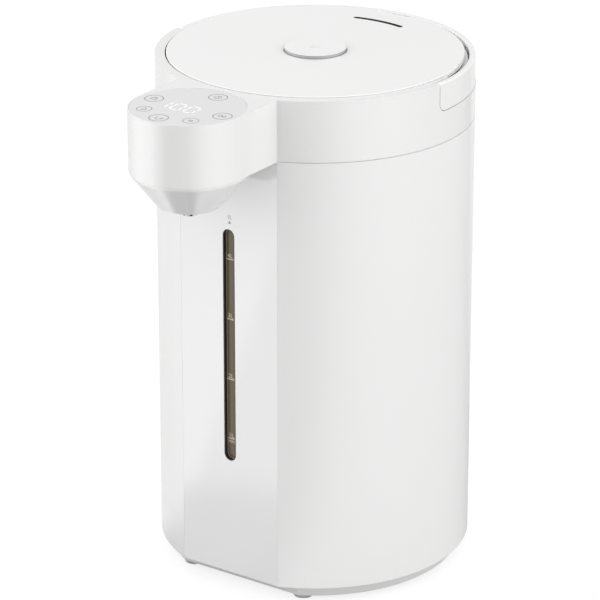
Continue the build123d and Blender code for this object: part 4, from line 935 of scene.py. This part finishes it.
@dataclass
class TouchFace:
    """The key rings, signs and figures on the touch panel."""

    reach: float = 138.5
    top: float = 350.3
    keys: tuple[Key, ...] = (
        Key(-27.5, 0.6, 6.0, Icon.KETTLE), Key(-20.3, -19.2, 4.9, Icon.DROP), Key(-2.4, -27.9, 6.1, Icon.CUP),
        Key(17.2, -21.0, 5.0, Icon.FLAME), Key(28.2, -2.9, 6.0, Icon.DROPS), Key(4.2, 25.2, 6.0, Icon.CLOCK),
    )
    ring_width: float = 0.55 / 6.0
    ring_layer: Pair = (-0.004, 0.005)
    ring_end: float = 354.0
    ring_steps: int = 59
    sign_width: float = 0.495
    layer: Pair = (SUNK, 0.03)
    figures: tuple[str, ...] = ("bc", "abcdef", "abcdef")
    figure_middle: Pair = (-5.2, -4.0)
    figure_size: Pair = (7.0, 11.5)
    figure_step: float = 10.6
    bar_inset: float = 0.14
    bar_width: float = 1.15

    def face(self) -> Surface:
        """The top of the touch panel, with its middle as origin."""
        return Surface((0.0, -self.reach, self.top), RIGHT, BACK, UP)

    def rings(self) -> None:
        """Set a thin ring round each key."""
        draft, face = Draft(), self.face()
        circle = arc(0.0, 0.0, 1.0, 0.0, self.ring_end, self.ring_steps)
        draft.ribbon(GROUND, circle, self.ring_width, self.ring_layer, closed=True)
        spots = [face.at(key.u, key.v, 0.0) for key in self.keys]
        sizes = [key.radius for key in self.keys]
        mesh = Repeater().spread(draft.mesh(), spots, KEY_INK, sizes)
        settle("key_rings", mesh, KEY_INK, Body.HOUSING)

    def signs(self) -> None:
        """Draw the keys' signs as one piece."""
        draft, face = Draft(), self.face()
        for key in self.keys:
            for line in SIGNS[key.icon]:
                points = [(key.u + u, key.v + v) for u, v in line.points]
                draft.ribbon(face, points, self.sign_width, self.layer, line.closed)
        settle("key_signs", draft.mesh(), KEY_INK, Body.HOUSING)

    def display(self) -> None:
        """Draw the lit figures as bars, named by letter round each figure from its top."""
        wide, high = (size / 2 for size in self.figure_size)
        corners = [(-wide, high), (wide, high), (wide, 0.0), (wide, -high), (-wide, -high), (-wide, 0.0)]
        ends = dict(zip("abcdef", zip(corners, corners[1:] + corners[:1])))
        near, far = self.bar_inset, 1.0 - self.bar_inset
        draft, face = Draft(), self.face()
        for k, figure in enumerate(self.figures):
            u = self.figure_middle[0] + (k - 1) * self.figure_step
            v = self.figure_middle[1]
            for bar in figure:
                (a, b), (c, d) = ends[bar]
                line = [(u + a * far + c * near, v + b * far + d * near),
                        (u + a * near + c * far, v + b * near + d * far)]
                draft.ribbon(face, line, self.bar_width, self.layer)
        settle("display_figures", draft.mesh(), LIT_WHITE, Body.HOUSING)

    def build(self) -> None:
        """Make all marks of the touch panel."""
        self.rings()
        self.signs()
        self.display()


@dataclass
class ButtonFace:
    """The plated band round the lid's button, whose mid grey is partly painted shade of the button's side,
    and the sign on its top.
    """

    top: float = 353.4
    radius: float = 20.5
    band_low: float = 346.5
    band_depth: float = 0.3
    band_proud: float = 0.04
    band_drop: float = 0.03
    band_edge: float = 0.1
    band_steps: int = 160
    sign_across: Point = (0.819, 0.574, 0.0)
    sign_up: Point = (-0.574, 0.819, 0.0)
    sign_layer: Pair = (SUNK, 0.03)
    sign_lines: tuple[tuple[float, tuple[Pair, ...]], ...] = (
        (0.6, ((-3.4, -2.2), (3.4, -2.2))),
        (0.6, ((-3.4, -0.9), (3.4, 2.4))),
        (0.5, ((-0.9, 2.2), (-1.6, 3.2), (-2.3, 2.2))),
    )

    def band(self) -> None:
        """Turn the thin band that shows between the lid and the button's top."""
        inner, outer = self.radius - self.band_depth, self.radius + self.band_proud
        low, high, edge = self.band_low, self.top - self.band_drop, self.band_edge
        draft = Draft()
        profile = [(inner, low), (outer, low), (outer, high - edge), (outer - edge, high), (inner, high)]
        draft.lathe(profile, segments=self.band_steps)
        # The band's mid grey partly stands in for the shade on the button's side.
        settle("button_band", draft.mesh(30.0), BAND_SHADE, Body.BUTTON)

    def sign(self) -> None:
        """Draw an open lid over a line."""
        face = Surface((0.0, 0.0, self.top), self.sign_across, self.sign_up, UP)
        draft = Draft()
        for width, points in self.sign_lines:
            draft.ribbon(face, list(points), width, self.sign_layer)
        settle("button_sign", draft.mesh(), FAINT_INK, Body.BUTTON)

    def build(self) -> None:
        """Make the band and the sign."""
        self.band()
        self.sign()


@dataclass
class VentShadeLiner:
    """A near-black sheet of painted shade lining the steam slot in the lid."""

    lid_top: float = 351.3
    lid_low: float = 348.0
    pitch_radius: float = 75.6
    half_turn: float = 13.49
    half_width: float = 1.8
    wall: float = 0.25
    clear: float = 0.02
    drop: float = 0.05
    end_steps: int = 8

    def outline(self) -> list[Pair]:
        """List the middle line of the lining's wall.

        Returns:
            The points round the slot.
        """
        offset = self.half_width - self.clear - self.wall / 2
        low, high = 90.0 - self.half_turn, 90.0 + self.half_turn
        points: list[Pair] = []
        for side, start, end, first in ((offset, low, high, high), (-offset, high, low, low + 180.0)):
            points += arc(0.0, 0.0, self.pitch_radius + side, start, end, ARC_STEPS)
            u, v = arc(0.0, 0.0, self.pitch_radius, start, end, 1)[1]
            points += arc(u, v, offset, first, first + 180.0, self.end_steps)[1:-1]
        return points

    def build(self) -> None:
        """Draw the lining's wall."""
        face = Surface((0.0, 0.0, self.lid_low), RIGHT, BACK, UP)
        layer = (self.clear, self.lid_top - self.lid_low - self.drop)
        draft = Draft()
        draft.ribbon(face, self.outline(), self.wall, layer, closed=True)
        # Painted shade: the near-black sheet stands where the slot is in shade.
        settle("vent_lining", draft.mesh(40.0), VENT_SHADE, Body.LID)


@dataclass
class Screws:
    """A ring of screws with crossed slots in heads that face down."""

    name: str
    node: str
    head_radius: float
    head_height: float
    shank_radius: float
    length: float
    seat: float
    pitch_radius: float
    angles: tuple[float, ...]
    body: Body

    EDGE = 0.3
    PITCH = 1.2
    THREAD = ((1.0, 0.5), (0.82, 0.8), (1.0, 1.1))
    TIP_SHARE = 0.6
    STEPS = 24
    SLOT_REACH = 0.62
    SLOT_HALF = 0.14
    SLOT_LOW = -0.5
    SLOT_SHARE = 0.6
    FIRST_TURN = 0.4
    NEXT_TURN = 0.7

    def turned(self) -> bpy.types.Mesh:
        """Turn one screw about the origin, its head on the ground.

        Returns:
            The screw without its slot.
        """
        head, tall, shank = self.head_radius, self.head_height, self.shank_radius
        profile = [(0.0, 0.0), (head - self.EDGE, 0.0), (head, self.EDGE), (head, tall), (shank, tall)]
        for k in range(int(self.length / self.PITCH)):
            profile += [(shank * share, tall + k * self.PITCH + rise) for share, rise in self.THREAD]
        profile += [(shank * self.TIP_SHARE, tall + self.length), (0.0, tall + self.length)]
        draft = Draft()
        draft.lathe(profile, -AXIS_SHIFT, self.STEPS)
        return draft.mesh(35.0)

    def slot(self) -> bpy.types.Mesh:
        """Draw the cross that is cut into the head.

        Returns:
            The cross.
        """
        cut, thin = self.head_radius * self.SLOT_REACH, self.head_radius * self.SLOT_HALF
        cross = [(thin, thin), (cut, thin), (cut, -thin), (thin, -thin), (thin, -cut), (-thin, -cut),
                 (-thin, -thin), (-cut, -thin), (-cut, thin), (-thin, thin), (-thin, cut), (thin, cut)]
        draft = Draft()
        draft.plate(GROUND, cross[::-1], (self.SLOT_LOW, self.head_height * self.SLOT_SHARE))
        return draft.mesh()

    def item(self) -> bpy.types.Mesh:
        """Make one screw with its slot.

        Returns:
            The screw's mesh.
        """
        screw, tool = show("screw", self.turned()), show("slot", self.slot())
        cutter = screw.modifiers.new("slot", "BOOLEAN")
        cutter.object = tool
        cutter.solver = "EXACT"
        return plain_mesh(screw, tool)

    def build(self) -> None:
        """Set the screws on their pitch circle."""
        spots = ring(self.pitch_radius, self.angles, self.seat)
        lean = [self.FIRST_TURN + self.NEXT_TURN * k for k in range(len(spots))]
        mesh = Repeater().spread(self.item(), spots, STEEL, turns=lean)
        settle(self.name, mesh, STEEL, self.body, (self.node,))


@dataclass
class Feet:
    """Four rubber feet with grooved soles."""

    radius: float = 6.5
    height: float = 4.5
    pitch_radius: float = 90.0
    angles: tuple[float, ...] = (60.0, 120.0, 240.0, 300.0)
    sole: tuple[Pair, ...] = ((0.0, 0.35), (1.4, 0.35), (1.7, 0.0), (2.9, 0.0), (3.2, 0.5), (3.9, 0.5),
                              (4.2, 0.0), (5.8, 0.0), (6.25, 0.2), (6.5, 0.75))
    steps: int = 64

    def build(self) -> None:
        """Set the feet in the base."""
        draft = Draft()
        draft.lathe([*self.sole, (self.radius, self.height), (0.0, self.height)], -AXIS_SHIFT, self.steps)
        spots = ring(self.pitch_radius, self.angles, 0.0)
        mesh = Repeater().spread(draft.mesh(35.0), spots, FOOT)
        settle("grip_feet", mesh, FOOT, Body.HOUSING, ("rubber_feet",))


@dataclass
class Nozzle:
    """The bright spout nozzle with its rounded lip, and dark marks round its end that are painted
    reflections.
    """

    reach: float = 138.5
    tip: float = 278.7
    radius: float = 4.9
    bore: float = 3.0
    bevel: float = 0.5
    lip: tuple[Pair, ...] = ((-0.7, 0.0), (-0.2, 0.2), (0.0, 0.7), (0.0, 3.0), (-0.35, 3.3), (-0.35, 3.9),
                             (0.0, 4.2))
    floor: float = 288.3
    flange: float = 8.0
    flange_height: float = 1.5
    shoulder: float = 296.8
    stub: float = 4.0
    stub_edge: Pair = (0.4, 0.6)
    top: float = 304.8
    steps: int = 72
    # how many slot-shaped dark marks, painted reflections, go round the end
    slots: int = 6
    first_mark: float = -13.0
    mark_half: float = 0.8
    mark_rise: Pair = (0.5, 2.4)
    mark_round: Point = (0.8, math.pi / 2, math.pi - 0.8)
    mark_layer: Pair = (-0.3, 0.02)

    def dark_reflection_marks(self) -> None:
        """Draw dark slot-shaped marks round the nozzle's end as painted reflections."""
        draft = Draft()
        (low, high), half = self.mark_rise, self.mark_half
        shoulder = high - half
        outline = [(-half, low), (half, low), (half, shoulder)]
        outline += [(half * math.cos(a), shoulder + half * math.sin(a)) for a in self.mark_round]
        outline.append((-half, shoulder))
        for k in range(self.slots):
            turn = math.radians(self.first_mark + 360.0 * k / self.slots)
            out = (math.sin(turn), -math.cos(turn), 0.0)
            middle = (self.radius * out[0], self.radius * out[1] - self.reach, self.tip)
            face = Surface(middle, (math.cos(turn), math.sin(turn), 0.0), UP, out)
            draft.plate(face, outline, self.mark_layer)
        # Painted reflection: the dark marks stand for dark reflections on the nozzle's glossy end.
        settle("nozzle_slots", draft.mesh(), BLACK, Body.HOUSING)

    def tube(self) -> None:
        """Turn the nozzle."""
        r, low, collar = self.radius, self.tip, self.floor + self.flange_height
        profile = [(self.bore + self.bevel, low)]
        profile += [(r + out, low + rise) for out, rise in self.lip]
        profile += [(r, self.floor), (self.flange, self.floor), (self.flange, collar), (r, collar)]
        stub, (inset, drop_by) = self.stub, self.stub_edge
        profile += [(r, self.shoulder), (stub, self.shoulder), (stub, self.top - drop_by)]
        profile += [(stub - inset, self.top), (self.bore, self.top), (self.bore, low + self.bevel)]
        draft = Draft()
        draft.lathe(profile, -self.reach, self.steps)
        settle("bright_nozzle", draft.mesh(30.0), BRIGHT, Body.HOUSING, ("spout_nozzle",))

    def build(self) -> None:
        """Make the nozzle and its painted reflection marks."""
        self.tube()
        self.dark_reflection_marks()


@dataclass
class Viewpoint:
    """The photograph's camera."""

    azimuth: float = 35.0
    elevation: float = 21.66
    distance: float = 2398.0
    lens: float = 214.58
    sensor: float = 36.0
    side: float = -10.05
    height: float = 180.0
    shift: float = -0.0111
    clip: Pair = (0.05, 50.0)

    def build(self) -> None:
        """Make the camera and set it as the scene's own."""
        turn, rise = math.radians(self.azimuth), math.radians(self.elevation)
        back = heading(self.azimuth) * math.cos(rise) + Vector(UP) * math.sin(rise)
        aim = place(self.side * math.cos(turn), self.side * math.sin(turn), self.height)
        data = bpy.data.cameras.new("photo_camera")
        data.sensor_width = self.sensor
        data.lens = self.lens
        data.shift_y = self.shift
        data.clip_start, data.clip_end = self.clip
        camera = show("photo_camera", data)
        camera.location = aim + back * self.distance * MM
        camera.rotation_mode = "QUATERNION"
        camera.rotation_quaternion = (-back).to_track_quat("-Z", "Y")
        bpy.context.scene.camera = camera


@dataclass
class Studio:
    """A pale floor between two broad soft walls of light, left and right of the object."""

    floor_size: float = 8.0
    floor_grey: float = 0.5
    paper_grey: float = 0.9
    white_level: float = 1.08
    white_share: float = 0.75
    round_level: float = 0.65
    front_gain: float = 0.21
    front_azimuth: float = 43.0
    side_gain: float = 1.28
    side_azimuth: float = 111.0
    top_level: float = 1.13
    top_rise: Pair = (0.3, 0.8)
    gap_left: Pair = (-27.0, -2.0)
    gap_right: Pair = (23.0, 72.0)
    back_azimuth: float = 15.0
    card_start: Pair = (-0.125, -0.1917)
    card_out: Pair = (-0.8819, 0.4714)
    card_edge: Pair = (-0.006, 0.006)
    card_levels: Pair = (0.95, 1.55)
    # a painted shadow in the floor's gloss, by the spout
    shadow_middle: Pair = (-52.0, -152.0)
    shadow_reach: Pair = (0.05, 0.125)
    shadow_level: float = 0.15
    front: float = 100.0
    back_turns: Pair = (70.0, 120.0)
    back_level: float = 0.55

    def direct(self, nb: NodeBuilder) -> Socket:
        """Tell rays that come straight from the camera, or through clear parts, from all others.

        Args:
            nb: Builder of the tree.

        Returns:
            One for such rays, nought for the others.
        """
        rays = nb.add("ShaderNodeLightPath").outputs
        return nb.math("MAXIMUM", rays["Is Camera Ray"], rays["Is Transmission Ray"])

    def surround(self) -> None:
        """Light the scene from the sides and from above, and show white to the camera and to clear parts."""
        world = bpy.data.worlds.new("studio")
        bpy.context.scene.world = world
        world.use_nodes = True
        nb = NodeBuilder(world.node_tree)
        ray = nb.add("ShaderNodeTexCoord").outputs["Generated"]
        unit = nb.vector("NORMALIZE", nb.vector("MULTIPLY", ray, (1.0, 1.0, 0.0)))
        along = nb.vector("DOT_PRODUCT", unit, heading(self.side_azimuth))
        facing = nb.vector("DOT_PRODUCT", unit, heading(self.front_azimuth))
        plain = nb.math("MULTIPLY_ADD", facing, self.front_gain, self.round_level)
        walls = nb.math("MULTIPLY_ADD", nb.math("MULTIPLY", along, along), self.side_gain, plain)
        sky = nb.mix(nb.ramp(nb.split(ray)["Z"], self.top_rise), walls, self.top_level)
        shown = nb.mix(self.direct(nb), sky, 1.0)
        nb.feed(world.node_tree.nodes["Background"], {"Color": (1.0, 1.0, 1.0, 1.0), "Strength": shown})

    def mirror_level(self, nb: NodeBuilder) -> Socket:
        """Work out how bright the floor looks in gloss: dark ahead, with a slanting edge, and darker by the
        spout, where a shadow is painted.

        Args:
            nb: Builder of the floor material's tree.

        Returns:
            The level's socket.
        """
        spot = nb.add("ShaderNodeTexCoord").outputs["Object"]
        parts = nb.split(nb.vector("SUBTRACT", spot, place(0.0, -self.front, 0.0)))
        turn = nb.math("ARCTAN2", parts["X"], nb.math("MULTIPLY", parts["Y"], -1.0))
        left = nb.ramp(turn, radians(self.gap_left), (1.0, 0.0), smooth=True)
        right = nb.ramp(turn, radians(self.gap_right), smooth=True)
        off_card = nb.vector("SUBTRACT", spot, (*self.card_start, 0.0))
        side = nb.vector("DOT_PRODUCT", off_card, (*self.card_out, 0.0))
        card = nb.ramp(side, self.card_edge, self.card_levels)
        half = nb.mix(nb.math("LESS_THAN", turn, 0.0), 1.0, card)
        away = nb.math("ABSOLUTE", nb.math("SUBTRACT", turn, math.radians(self.back_azimuth)))
        behind = nb.ramp(away, radians(self.back_turns), (1.0, self.back_level), smooth=True)
        # Painted shadow: the floor's gloss is darker round a spot by the spout, standing in for the object's
        # shadow there.
        reach = nb.vector("DISTANCE", spot, place(*self.shadow_middle, 0.0))
        near = nb.ramp(reach, self.shadow_reach, (self.shadow_level, 1.0), smooth=True)
        level = nb.math("MAXIMUM", left, right)
        for factor in (half, behind, near):
            level = nb.math("MULTIPLY", level, factor)
        return level

    def paper(self) -> bpy.types.Material:
        """Make the floor's material: white to the camera, grey to the object, and dark ahead in gloss, with a
        painted shadow by the spout.

        Returns:
            The material.
        """
        made = bpy.data.materials.new("studio_floor")
        made.use_nodes = True
        nb, nodes = NodeBuilder(made.node_tree), made.node_tree.nodes
        plain = nodes["Principled BSDF"]
        nb.feed(plain, {"Base Color": rgba((self.floor_grey,) * 3), "Roughness": 0.9})
        paper = nb.add("ShaderNodeBsdfDiffuse", {"Color": rgba((self.paper_grey,) * 3)}).outputs["BSDF"]
        white = nb.add("ShaderNodeEmission", {"Strength": self.white_level}).outputs["Emission"]
        gloss = nb.add("ShaderNodeEmission", {"Strength": self.mirror_level(nb)}).outputs["Emission"]
        glossy = nb.add("ShaderNodeLightPath").outputs["Is Glossy Ray"]
        shown = nb.shade(self.white_share, paper, white)
        bounce = nb.shade(glossy, plain.outputs["BSDF"], gloss)
        nb.feed(nodes["Material Output"], {"Surface": nb.shade(self.direct(nb), bounce, shown)})
        return made

    def floor(self) -> None:
        """Make the pale floor that keeps a faint contact shadow."""
        half = self.floor_size / 2
        corners = [(-half, -half, 0.0), (half, -half, 0.0), (half, half, 0.0), (-half, half, 0.0)]
        mesh = bpy.data.meshes.new("floor")
        mesh.from_pydata(corners, [], [(0, 1, 2, 3)])
        floor = show("floor", mesh)
        mesh.materials.append(self.paper())

    def build(self) -> None:
        """Set the surround and the floor."""
        bpy.context.scene.view_settings.view_transform = "Standard"
        self.surround()
        self.floor()


def dress_nodes() -> None:
    """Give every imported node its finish."""
    for name, finish in NODE_FINISH.items():
        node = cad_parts[name]
        node.data.materials.clear()
        node.data.materials.append(finish.material())
        LOG.info("dressed %s with %s", name, finish.name)


def main() -> None:
    """Build the scene in order."""
    logging.basicConfig(level=logging.INFO, format="%(name)s: %(message)s")
    Viewpoint().build()
    Studio().build()
    dress_nodes()
    GaugeFace().build()
    TouchFace().build()
    ButtonFace().build()
    VentShadeLiner().build()
    Nozzle().build()
    Feet().build()
    Screws("base_fixings", "base_screws", head_radius=3.0, head_height=1.6, shank_radius=1.5, length=21.0,
           seat=3.4, pitch_radius=88.0, angles=(40.0, 140.0, 220.0, 320.0), body=Body.HOUSING).build()
    Screws("lid_fixings", "lid_screws", head_radius=2.6, head_height=1.0, shank_radius=1.25, length=9.0,
           seat=334.0, pitch_radius=60.0, angles=(30.0, 150.0, 210.0, 330.0), body=Body.LID).build()


if __name__ == "__main__":
    main()
